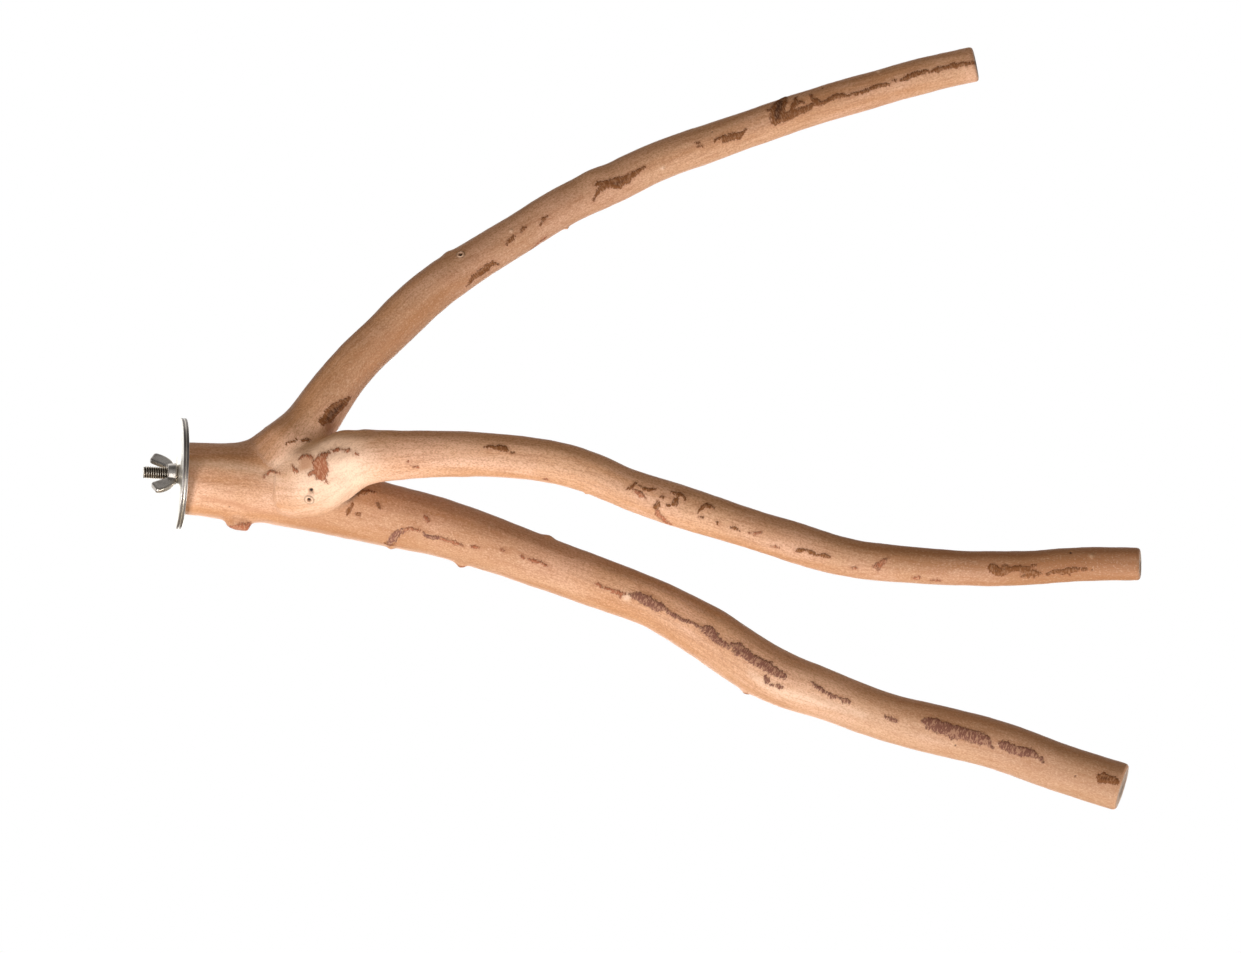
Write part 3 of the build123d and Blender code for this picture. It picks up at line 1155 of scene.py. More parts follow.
LOWER_BARK = [
    Strip(((33, 11, 0.8), (34.5, 15, 1.4), (36.5, 19, 1.2), (39.5, 18, 0.8)), Bark.RED),
    Strip(((73, 14, 1.2), (76, 22, 2.6), (80, 30, 2), (84, 36, 1))),
    Strip(((75.5, 0, 1.2), (75, -8, 2), (74.5, -17, 1.2))),
    Strip(((78.5, -13, 0.8), (80, -11, 1))),
    Strip(((86.5, 15, 0.9), (88, 11, 1.6), (89, 7, 0.8))),
    Strip(((97, -68, 1.6), (97, -55, 3), (97.5, -42, 3.2), (99, -30, 3), (101, -24, 2)), Bark.PLUM),
    Strip(((95, -63, 1), (97.5, -66, 1.8), (99, -62, 1))),
    Strip(((101, -23, 1.6), (104, -17, 1.1), (108, -17, 0.9)), Bark.RED),
    Strip(((109, 12, 0.9), (110.5, 8, 1.2), (111, 2, 0.8)), Bark.RED),
    Strip(((110, -20, 0.8), (112, -25, 2), (115, -24, 1.4), (118, -21, 1)), Bark.PLUM),
    Strip(((118, -21, 0.9), (122, -22, 1.3), (127, -22, 1.1), (130, -23, 0.8)), Bark.RED),
    Strip(((133.5, -20, 0.8), (135.5, -17, 1.5), (137, -16, 0.8)), Bark.RED),
    Strip(((147, -4, 0.9), (148.5, -6, 0.9)), Bark.RED),
    Strip(((157, -4, 1), (158, -6, 0.9)), Bark.RED),
    Strip(((160, -4, 0.9), (163, -5, 1.6), (167, -5, 1.3), (170, -6, 0.8)), Bark.RED),
    Strip(((193, -7, 0.8), (197, -8, 1.3), (201, -9, 1.7), (204.5, -8, 2), (206.5, -5, 1)), Bark.RED),
    Strip(((204.5, -10, 1.4), (205, -17, 0.8)), Bark.RED),
    Strip(
        ((210, -4, 2), (213, -1, 4.2), (216.5, -3, 4.6), (220, -4, 4.6), (223.5, -4, 4), (226, -1, 1.6)),
        Bark.PLUM,
    ),
    Strip(((226.5, -2, 1.2), (228.5, -6, 2), (232, -7, 1.6), (236, -5, 1.2), (240, 0, 1)), Bark.PLUM),
    Strip(
        ((240, 0, 1), (242.5, 0, 1.1), (245, 0, 1.5), (247, 6, 2.4), (249.5, 6, 3.4), (252, 3, 3.2)),
        Bark.PLUM,
    ),
    Strip(((247.5, -5, 1.2), (250.5, -4, 2.8), (254, -4, 2.8), (257, -4, 2.2), (260, -3, 1.8)), Bark.PLUM),
    Strip(
        ((261, 6, 1.6), (264, 8, 4.6), (268, 5, 4.8), (272, 4, 4.2), (276, 6, 4.4), (280, 7, 4.4)),
        Bark.PLUM,
    ),
    Strip(((280, 7, 4.4), (284, 7, 3.8), (287.5, 6, 3.4), (290, 5, 1.6)), Bark.PLUM),
    Strip(((279.5, 14, 1.4), (281.5, 22, 0.8)), Bark.PLUM),
    Strip(((263, -5, 1.2), (266, -4, 1.6), (269, -4, 1)), Bark.PLUM),
    Strip(((281.5, -14, 1.4), (283, -19, 1.7), (284, -23, 0.8)), Bark.PLUM),
    Strip(((285.5, -22, 0.8), (288, -20, 1.9), (290, -17, 1.2)), Bark.PLUM),
    Strip(((302.5, 12, 0.9), (305, 9, 1.5), (308, 5, 1.5), (310, 2, 0.9)), Bark.PLUM),
    Strip(((311, 2, 1), (313.5, 0, 1.9), (315.5, 2, 1.2)), Bark.PLUM),
    Strip(((316.5, 2, 1.4), (319, 1, 2.3), (321.5, 3, 1)), Bark.PLUM),
    Strip(((338.5, -1, 0.9), (341, -2, 1.9), (344, -3, 1.4)), Bark.PLUM),
    Strip(
        ((356, 14, 2.6), (359.5, 11, 5.6), (363.5, 8, 6.2), (368, 6, 6), (373, 5, 5.6), (377.5, 5, 5.6)),
        Bark.PLUM,
    ),
    Strip(((377.5, 5, 5.6), (382, 4, 5.4), (385, 2, 3.6), (387, -8, 1.4), (388.5, -12, 0.8)), Bark.PLUM),
    Strip(
        ((391.5, 4, 2), (394.5, 2, 4), (398, 0, 3.8), (402, 3, 4), (405.5, 5, 3.4), (408, 4, 2)),
        Bark.PLUM,
    ),
    Strip(((408, 4, 1), (411, 3, 1.6), (413, -3, 0.8)), Bark.PLUM),
    Strip(((438.9, 7, 3.6), (440.4, 7, 5.4), (442.2, 8, 3.8), (444.4, 9, 4.4), (446, 9, 3))),
    # painted shade along a shallow fold of the trunk
    Strip(((8, -30, 1.5), (20, -34, 3), (30, -42, 2.4), (40, -46, 1)), Bark.STAIN_AND_SHADE),
    Strip(((-2, 26, 3), (14, 24, 4), (30, 18, 4), (40, 8, 4)), Bark.PALE_AND_LIGHT),
    Strip(((275, -22, 3), (290, -30, 7), (310, -22, 6), (330, -14, 4)), Bark.PALE_AND_LIGHT),
    Strip(((58, 158, 0.8), (64, 164, 3), (69, 159, 4.6), (75, 168, 3.2), (81, 164, 2.2), (88, 171, 0.8))),
    Strip(((72, 179, 0.8), (76, 182, 1.8), (80, 181, 0.8)), Bark.PLUM),
    Strip(((130, 185, 0.8), (135, 180, 2.6), (140, 184, 3.2), (146, 178, 1.4), (151, 180, 0.8)), Bark.PLUM),
    Strip(((246, 175, 0.8), (251, 180, 3.4), (257, 176, 5), (263, 185, 3.6), (270, 181, 4), (277, 190, 1))),
    Strip(((322, 170, 0.8), (327, 175, 2.8), (332, 171, 1.6), (338, 177, 2.4), (343, 175, 0.8)), Bark.PLUM),
    Strip(((384, 196, 0.8), (389, 192, 3.4), (395, 187, 4.4), (402, 193, 3), (409, 187, 3.6), (418, 185, 1))),
]

STRIPS = {Arm.UPPER: UPPER_BARK, Arm.MIDDLE: MIDDLE_BARK, Arm.LOWER: LOWER_BARK}


class SawnFace(NamedTuple):
    """A sawn end: its limb, the sample it lies at, and whether the wood lies before or after it."""

    limb: Limb
    index: int
    sign: float


@dataclass
class ForkedBranch:
    """The peeled forked branch, with its crotches, twigs, knots, bark and sawn ends."""

    sizes: BranchSizes = field(default_factory=BranchSizes)
    voxel: float = 1.22 * MM
    crotch_reach: float = 1.42
    crotch_rounds: int = 46
    crease_rounds: int = 3
    crease_depth: float = 1.0 * MM
    crease_start: tuple[float, float] = (66 * MM, 76 * MM)
    crease_width: tuple[float, float] = (1.06, 1.2)
    # how dark the painted shade in the crease under the middle arm is
    crease_shade: float = 0.8
    saw_reach: float = 12 * MM
    saw_weld: float = 0.3 * MM
    sanded_rim: float = 1.5 * MM
    rim_turns: tuple[float, ...] = (30, 60, 90)
    cut_rings: tuple[float, ...] = (0.86, 0.83, 0.8, 0.75, 0.66, 0.5)
    evening_rounds: int = 4
    bark_height: float = 0.3 * MM
    bark_edge: tuple[float, float] = (-0.5, 0.6)
    bark_border: float = 0.8
    bark_stray: float = 0.7 * MM
    stray_scale: float = 420.0
    wash_edge: tuple[float, float] = (-3.0, 3.0)
    wash_strength: float = 0.7
    cut_shift: float = 0.35
    bark_reach: float = 1.2
    broad_knot: float = 4.0
    pilot_radius: float = 3.02 * MM
    pilot_depth: float = 24 * MM
    pilot_point: float = 8 * MM
    pilot_zone: float = 36 * MM
    knot_margin: float = 1.5
    knot_ring: tuple[float, float] = (0.68, 0.22)
    knot_groove: tuple[float, float] = (1.02, 0.14)
    knot_hole: tuple[float, float] = (0.2, 0.62)
    hole_depth: float = 2.2
    groove_tone: float = 0.5
    pit_wall: tuple[float, float] = (0.2, 0.9)
    pit_floor: tuple[float, float] = (0.28, 0.5)
    broad_scale: float = 42.0
    broad_lift: float = 0.35 * MM
    knotty_scale: float = 130.0
    knotty_shift: Vector = field(default_factory=lambda: Vector((7, 3, 5)))
    knotty_lift: float = 0.16 * MM
    fork_lift: float = 1.1 * MM
    rib_scale: tuple[float, float, float] = (12.0, 190.0, 190.0)
    rib_lift: float = 0.2 * MM
    sunk: float = 0.05 * MM
    fork_centre: Vector = field(default_factory=lambda: Vector((63, -29, 5)) * MM)
    fork_reach: float = 24 * MM

    def __post_init__(self) -> None:
        """Lay out the three limbs."""
        self.limbs = {
            Arm.LOWER: Limb(LOWER_STATIONS, self.sizes, Vector((1, 0, 0))),
            Arm.MIDDLE: Limb(MIDDLE_STATIONS, self.sizes),
            Arm.UPPER: Limb(UPPER_STATIONS, self.sizes),
        }

    def build(self) -> Piece:
        """Make the branch and dress it.

        Returns:
            The finished piece.
        """
        bm = bmesh.new()
        for arm, limb in self.limbs.items():
            limb.add_tube(bm, early=arm is Arm.LOWER)
        for twig in TWIGS:
            self.add_twig(bm, twig)
        bmesh.ops.recalc_face_normals(bm, faces=bm.faces)
        bm = remeshed(bm, self.voxel)
        smooth(bm, list(bm.verts), self.evening_rounds)
        self.soften_crotches(bm)
        self.refine_bark(bm)
        self.refine_knots(bm)
        for end in self.sawn_faces():
            self.saw(bm, end)
        mesh = mesh_from(bm, "forked_branch_peeled")
        self.dress(mesh)
        finishes = [PeeledWood().material(), SawnEnd().material()]
        return finished("forked_branch_peeled", mesh, Body.PERCH, "forked_branch", finishes)

    def add_twig(self, bm: BMesh, twig: Twig) -> None:
        """Add the tapered stub of a cut twig.

        Args:
            bm: The bmesh to add to.
            twig: The twig.
        """
        lean = Vector(twig.lean).normalized()
        reach = self.sizes.width(twig.reach)
        middle = Vector(self.sizes.place(twig.foot)) + lean * reach / 2
        turn = lean.to_track_quat("Z", "Y").to_matrix().to_4x4()
        bmesh.ops.create_cone(
            bm,
            cap_ends=True,
            segments=32,
            radius1=self.sizes.width(twig.foot.girth) / 2,
            radius2=self.sizes.width(twig.cut_girth) / 2,
            depth=reach,
            matrix=Matrix.Translation(middle) @ turn,
        )

    def soften_crotches(self, bm: BMesh) -> None:
        """Round the creases where the limbs run into each other, least under the middle arm.

        Args:
            bm: The bmesh of the branch.
        """
        points = np.array([v.co for v in bm.verts])
        lower, middle, upper = self.spots(points).reach < self.crotch_reach
        fork = upper & (lower | middle)
        crease = lower & middle & ~fork
        bm.verts.ensure_lookup_table()
        for zone, rounds in ((fork, self.crotch_rounds), (crease, self.crease_rounds)):
            smooth(bm, [bm.verts[i] for i in np.nonzero(zone)[0]], rounds)

    def refine_bark(self, bm: BMesh) -> None:
        """Give the borders of the bark smaller faces.

        Args:
            bm: The bmesh of the branch.
        """
        depth, *_ = self.bark_field(self.spots(np.array([v.co for v in bm.verts])))
        border = {vert for vert, inside in zip(bm.verts, depth) if abs(inside) < self.bark_border}
        edges = [e for e in bm.edges if e.verts[0] in border and e.verts[1] in border]
        bmesh.ops.subdivide_edges(bm, edges=edges, cuts=1, use_grid_fill=True)

    def refine_knots(self, bm: BMesh) -> None:
        """Give the places of small knots and pits smaller faces.

        Args:
            bm: The bmesh of the branch.
        """
        for knot in KNOTS:
            if knot.radius > self.broad_knot:
                continue
            centre = self.limbs[knot.arm].point(knot.along * MM, knot.turn)
            reach = (knot.radius + self.knot_margin) * MM
            near = {v for v in bm.verts if (v.co - centre).length < reach}
            edges = [e for e in bm.edges if e.verts[0] in near and e.verts[1] in near]
            bmesh.ops.subdivide_edges(bm, edges=edges, cuts=2, use_grid_fill=True)

    def sawn_faces(self) -> list[SawnFace]:
        """List the branch's sawn ends.

        Returns:
            The butt and the ends of the three arms.
        """
        ends = [SawnFace(limb, len(limb.centre) - 1, 1.0) for limb in self.limbs.values()]
        return [SawnFace(self.limbs[Arm.LOWER], 0, -1.0), *ends]

    def saw(self, bm: BMesh, end: SawnFace) -> None:
        """Saw a limb off square, sand the rim and lay rings of faces across the cut.

        Args:
            bm: The bmesh of the branch.
            end: Which end.
        """
        out = Vector(end.limb.run[end.index]) * end.sign
        radius = float(end.limb.radius[end.index])
        sawn = Vector(end.limb.centre[end.index])
        centre = sawn - out * self.sanded_rim
        near = [v for v in bm.verts if (v.co - centre).length < radius + self.saw_reach]
        edges = dict.fromkeys(e for v in near for e in v.link_edges)
        faces = dict.fromkeys(f for v in near for f in v.link_faces)
        cut = bmesh.ops.bisect_plane(
            bm, geom=[*near, *edges, *faces], dist=WELD, plane_co=centre, plane_no=out, clear_outer=True
        )["geom_cut"]
        verts = [part for part in cut if isinstance(part, BMVert)]
        bmesh.ops.remove_doubles(bm, verts=verts, dist=self.saw_weld)
        rim = [e for e in bm.edges if e.is_boundary]
        cap = bmesh.ops.holes_fill(bm, edges=rim, sides=0)["faces"][0]
        butt = end.sign < 0
        hub = Vector((centre.x, 0.0, 0.0)) if butt else centre
        width, height = radius, 0.0
        for turn in map(math.radians, self.rim_turns):
            narrow = radius - self.sanded_rim * (1 - math.cos(turn))
            rise = self.sanded_rim * math.sin(turn)
            cap = self.ring_in(bm, cap, hub + out * height, narrow / width, out * (rise - height))
            width, height = narrow, rise
        for share in self.cut_rings:
            cap.material_index = 1
            cap = self.ring_in(bm, cap, hub + out * height, share)
        cap.material_index = 1
        if butt:
            self.drill(bm, cap, hub + out * height)

    def ring_in(
        self,
        bm: BMesh,
        cap: BMFace,
        hub: Vector,
        share: float,
        rise: Vector = Vector((0, 0, 0)),
    ) -> BMFace:
        """Draw a face in towards a point, leaving a ring of faces round it.

        Args:
            bm: The bmesh.
            cap: The face.
            hub: The point.
            share: The size of the new face against the old one.
            rise: How far the new face is lifted.

        Returns:
            The new face.
        """
        there = Matrix.Translation(hub)
        return pushed(bm, cap, Matrix.Translation(rise) @ there @ Matrix.Scale(share, 4) @ there.inverted())

    def drill(self, bm: BMesh, cap: BMFace, hub: Vector) -> None:
        """Drill the bolt's pilot hole from the middle of the sawn butt.

        Args:
            bm: The bmesh.
            cap: The innermost face of the butt.
            hub: The bolt's axis at the butt.
        """
        for vert in cap.verts:
            away = (vert.co - hub).normalized()
            vert.co = hub + away * self.pilot_radius
        cap = pushed(bm, cap, Matrix.Translation((self.pilot_depth, 0, 0)))
        tip = Matrix.Translation((self.pilot_point, 0, 0)) @ Matrix.Diagonal((1, 0.2, 0.2, 1))
        pushed(bm, cap, tip)

    def dress(self, mesh: Mesh) -> None:
        """Work the wood's skin and write the attributes that its finish reads.

        Args:
            mesh: The branch's mesh, which is changed in place.
        """
        count = len(mesh.vertices)
        points = np.empty(count * 3)
        mesh.vertices.foreach_get("co", points)
        points = points.reshape(-1, 3)
        normals = np.empty(count * 3)
        mesh.vertex_normals.foreach_get("vector", normals)
        normals = normals.reshape(-1, 3)

        spots = self.spots(points)
        rows = np.arange(count)
        along, front, top = (view[spots.owner, rows] for view in (spots.along, spots.front, spots.top))
        grain = np.column_stack((along + spots.owner, front, top))
        self.centre_rings(points, grain)
        skin = self.skin_mask(points)

        bark, tone, brown, pale_and_lit_wash = self.bark_field(spots)
        centre = np.array(self.fork_centre)
        fork = bell(np.linalg.norm(points - centre, axis=1), 0.0, self.fork_reach)
        crease = self.crease(spots)
        swell, pit, pale = self.knot_field(points)
        crust = self.bark_height * smooth_step(bark, *self.bark_edge)
        lift = self.lumps(points, grain, fork) + crust + swell
        points += normals * ((lift - self.crease_depth * crease) * skin)[:, None]
        mesh.vertices.foreach_set("co", points.ravel())
        mesh.update()

        self.write(mesh, "grain", "FLOAT_VECTOR", grain)
        self.write(mesh, "bark", "FLOAT", bark)
        self.write(mesh, "bark_tone", "FLOAT", tone)
        self.write(mesh, "stain_and_shade", "FLOAT", brown)
        # the lobe's paleness is partly a painted highlight
        pale = np.maximum(pale, self.lobe(spots, fork))
        # pale washes, partly painted light over the fork's crease
        washed = self.wash_strength * smooth_step(pale_and_lit_wash, *self.wash_edge)
        self.write(mesh, "pale", "FLOAT", np.maximum(pale, washed))
        # painted shade, darker where the lamps' light falls off
        raised = top / np.hypot(front, top)
        self.write(mesh, "painted_falloff_shade", "FLOAT", self.painted_falloff_shade(spots.owner, along / MM, raised))
        # pits, with painted shade along the crease under the middle arm
        self.write(mesh, "pit", "FLOAT", np.maximum(pit, self.crease_shade * crease**2))

    def centre_rings(self, points: Array, grain: Array) -> None:
        """Measure the grain on each sawn face from the end of its limb's centre line.

        Args:
            points: The vertices.
            grain: The place of each vertex in the wood, which is changed in place.
        """
        for end in self.sawn_faces():
            limb, last = end.limb, end.index
            off = points - limb.centre[last]
            flat = np.abs(off @ limb.run[last]) < 0.1 * MM
            flat &= np.linalg.norm(off, axis=1) < 1.2 * limb.radius[last]
            grain[flat, 1] = off[flat] @ limb.front[last]
            grain[flat, 2] = off[flat] @ limb.top[last]

    def write(self, mesh: Mesh, name: str, kind: str, values: Array) -> None:
        """Write an attribute of the mesh's vertices.

        Args:
            mesh: The mesh.
            name: The attribute's name.
            kind: Its data type.
            values: One value or row per vertex.
        """
        layer = mesh.attributes.new(name, kind, "POINT")
        layer.data.foreach_set("vector" if kind == "FLOAT_VECTOR" else "value", values.ravel())

    def skin_mask(self, points: Array) -> Array:
        """Tell the round skin, which is worked, from the sawn ends and the pilot hole, which aren't.

        Args:
            points: The vertices.

        Returns:
            1 on the skin, easing to 0 at the ends.
        """
        mask = np.ones(len(points))
        for end in self.sawn_faces():
            centre, run = end.limb.centre[end.index], end.limb.run[end.index] * end.sign
            off = points - centre
            depth = -(off @ run)
            close = np.linalg.norm(off, axis=1) < 2.0 * end.limb.radius[end.index]
            mask *= np.where(close, smooth_step(depth, 0.8 * MM, 2.5 * MM), 1.0)
        hole = np.hypot(points[:, 1], points[:, 2]) < 2.0 * self.pilot_radius
        return np.where(hole & (points[:, 0] < self.pilot_zone), 0.0, mask)

    def spots(self, points: Array) -> Spots:
        """See points as each limb does.

        Args:
            points: One point per row.

        Returns:
            Their places on every limb.
        """
        views = np.array([limb.locate(points) for limb in self.limbs.values()])
        along, front, top, reach = views.swapaxes(0, 1)
        return Spots(points, along, front, top, reach, reach.argmin(axis=0))

    def bark_field(self, spots: Spots) -> tuple[Array, Array, Array, Array]:
        """Measure how far points lie inside the strips of bark and the cut ends of twigs.

        Args:
            spots: The points.

        Returns:
            The depth inside the nearest strip in mm, below 0 outside it, the kind of bark there, and the
            depths inside the nearest brown and pale washes.
        """
        depth, brown, pale = np.full((3, len(spots.points)), FAR_OUTSIDE)
        washes = {Bark.STAIN_AND_SHADE: brown, Bark.PALE_AND_LIGHT: pale}
        tone = np.zeros(len(spots.points))
        drift = [noise.noise_vector(Vector(p) * self.stray_scale) for p in spots.points]
        stray = self.bark_stray * np.array(drift)
        for arm, strips in STRIPS.items():
            row = arm.value
            mine = np.nonzero((spots.owner == row) | (spots.reach[row] < self.bark_reach))[0]
            front, top = spots.front[row, mine], spots.top[row, mine]
            radius = np.hypot(front, top)
            turn = np.degrees(np.arctan2(top, front) + stray[mine, 1] / radius)
            along = spots.along[row, mine] + stray[mine, 0]
            for strip in strips:
                inside = strip.depth(along / MM, turn, radius / MM)
                if strip.kind in washes:
                    wash = washes[strip.kind]
                    wash[mine] = np.maximum(wash[mine], inside)
                    continue
                better = inside > depth[mine]
                depth[mine[better]] = inside[better]
                tone[mine[better]] = strip.kind.value
        for twig in TWIGS:
            reach = Vector(twig.lean).normalized() * self.sizes.width(twig.reach)
            half = self.sizes.width(twig.cut_girth) / 2
            shift = Vector((self.cut_shift * half, 0, 0))
            cut = np.array(Vector(self.sizes.place(twig.foot)) + reach + shift)
            inside = (half - np.linalg.norm(spots.points - cut, axis=1)) / MM
            better = inside > depth
            depth[better] = inside[better]
            tone[better] = Bark.RED.value
        return depth, tone, brown, pale

    def crease(self, spots: Spots) -> Array:
        """Find the crease under the root of the middle arm, where it parts from the lower arm.

        Args:
            spots: The vertices.

        Returns:
            1 along the crease, easing to 0 beside it and where the two arms grow as one.
        """
        lower, middle = Arm.LOWER.value, Arm.MIDDLE.value
        meeting = np.maximum(spots.reach[lower], spots.reach[middle])
        parted = smooth_step(spots.along[lower], *self.crease_start)
        return (1.0 - smooth_step(meeting, *self.crease_width)) * parted

    def painted_falloff_shade(self, owner: Array, along: Array, raised: Array) -> Array:
        """Paint shade on the wood where the lamps' light falls off: on the upper arm below its top, and on
        the other two towards their ends.

        Args:
            owner: The limb of each vertex.
            along: Its distance along that limb in mm.
            raised: 1 on top of the limb and -1 under it.

        Returns:
            How much painted shade each vertex takes.
        """
        fresh = smooth_step(along, 130, 230)
        lower = (0.2 + 0.35 * smooth_step(along, 40, 60)) * (1.0 - fresh) + 0.7 * smooth_step(along, 260, 430)
        middle = 0.95 * smooth_step(along, 170, 380)
        upper = 0.5 * smooth_step(along, 30, 60) * (1.0 - 0.7 * smooth_step(along, 180, 260))
        upper *= 1.0 - smooth_step(raised, 0.1, 0.8)
        return np.choose(owner, (lower, middle, upper))

    def lobe(self, spots: Spots, fork: Array) -> Array:
        """Mark the pale lobe of the middle arm, which ends sharply, and the lower arm's pale end. The lobe's
        paleness is partly the wood's own colour and partly a painted highlight where the lamps light it most.

        Args:
            spots: The vertices.
            fork: How near each is to the middle of the fork.

        Returns:
            How pale each vertex is.
        """
        lower, middle = Arm.LOWER.value, Arm.MIDDLE.value
        beyond = 1.0 - smooth_step(spots.reach[lower] - spots.reach[middle], -0.12, 0.1)
        parted = smooth_step(spots.along[lower], 40 * MM, 54 * MM)
        lobe = 0.9 * smooth_step(fork, 0.1, 0.9) * (1.0 - beyond * parted)
        far = 0.3 * (spots.owner == lower) * smooth_step(spots.along[lower], 230 * MM, 330 * MM)
        return np.maximum(lobe, far)

    def knot_field(self, points: Array) -> tuple[Array, Array, Array]:
        """Shape the knots.

        Args:
            points: The vertices.

        Returns:
            How far each vertex is lifted, how dark it is as the bottom of a pit, and how pale.
        """
        lift, dark, pale = np.zeros((3, len(points)))
        for knot in KNOTS:
            centre = np.array(self.limbs[knot.arm].point(knot.along * MM, knot.turn))
            share = np.linalg.norm(points - centre, axis=1) / (knot.radius * MM)
            swelling = bell(share, 0.0, 1.0)
            relief = knot.relief * MM
            if knot.kind is KnotKind.RING:
                ring = bell(share, *self.knot_ring)
                hole = 1.0 - smooth_step(share, *self.knot_hole)
                lift += relief * (ring - self.hole_depth * hole)
                pale = np.maximum(pale, ring)
                dark = np.maximum(dark, self.groove_tone * bell(share, *self.knot_groove))
            elif knot.kind is KnotKind.PIT:
                lift -= relief * (1.0 - smooth_step(share, *self.pit_wall))
            else:
                lift += relief * swelling
            if knot.kind in (KnotKind.RING, KnotKind.PIT):
                dark = np.maximum(dark, 1.0 - smooth_step(share, *self.pit_floor))
            elif knot.kind is KnotKind.PIN:
                pale = np.maximum(pale, swelling)
        return lift, dark, pale

    def lumps(self, points: Array, grain: Array, fork: Array) -> Array:
        """Give the wood the small unevenness of a grown branch.

        Args:
            points: The vertices.
            grain: Their places along and across the limbs.
            fork: How near each is to the knotty middle of the fork.

        Returns:
            How far each vertex is lifted.
        """
        broad = np.array([noise.noise(Vector(p) * self.broad_scale) for p in points])
        knotty = np.array([noise.noise(Vector(p) * self.knotty_scale + self.knotty_shift) for p in points])
        ribs = np.array([noise.noise(Vector(g)) for g in grain * np.array(self.rib_scale)])
        uneven = self.broad_lift * broad + (self.knotty_lift + self.fork_lift * fork) * knotty
        return uneven + self.rib_lift * ribs - self.sunk


@dataclass
class Washer:
    """A large flat washer with softly rounded rims."""

    face: float
    body: Body
    node: str
    diameter: float = 50 * MM
    hole: float = 6.6 * MM
    thickness: float = 1.3 * MM
    rim: float = 0.3 * MM
    steps: int = 160

    def build(self, finishes: list[Finish]) -> Piece:
        """Make the washer and dress it.

        Args:
            finishes: The materials of its faces and of its rims.

        Returns:
            The finished piece.
        """
        bm = bmesh.new()
        outline = [
            (self.face, self.hole / 2),
            (self.face, self.diameter / 2),
            (self.face + self.thickness, self.diameter / 2),
            (self.face + self.thickness, self.hole / 2),
        ]
        add_turned(bm, outline, self.steps)
        bmesh.ops.recalc_face_normals(bm, faces=bm.faces)
        rims = [e for e in bm.edges if e.calc_face_angle(0.0) > math.radians(60)]
        bmesh.ops.bevel(
            bm, geom=rims, offset=self.rim, segments=4, profile=0.5, affect="EDGES", material=-1
        )
        for face in bm.faces:
            face.material_index = int(abs(face.normal.x) < 0.5)
        mesh = mesh_from(bm, self.node + "_plated", math.radians(50))
        return finished(self.node + "_plated", mesh, self.body, self.node, finishes)


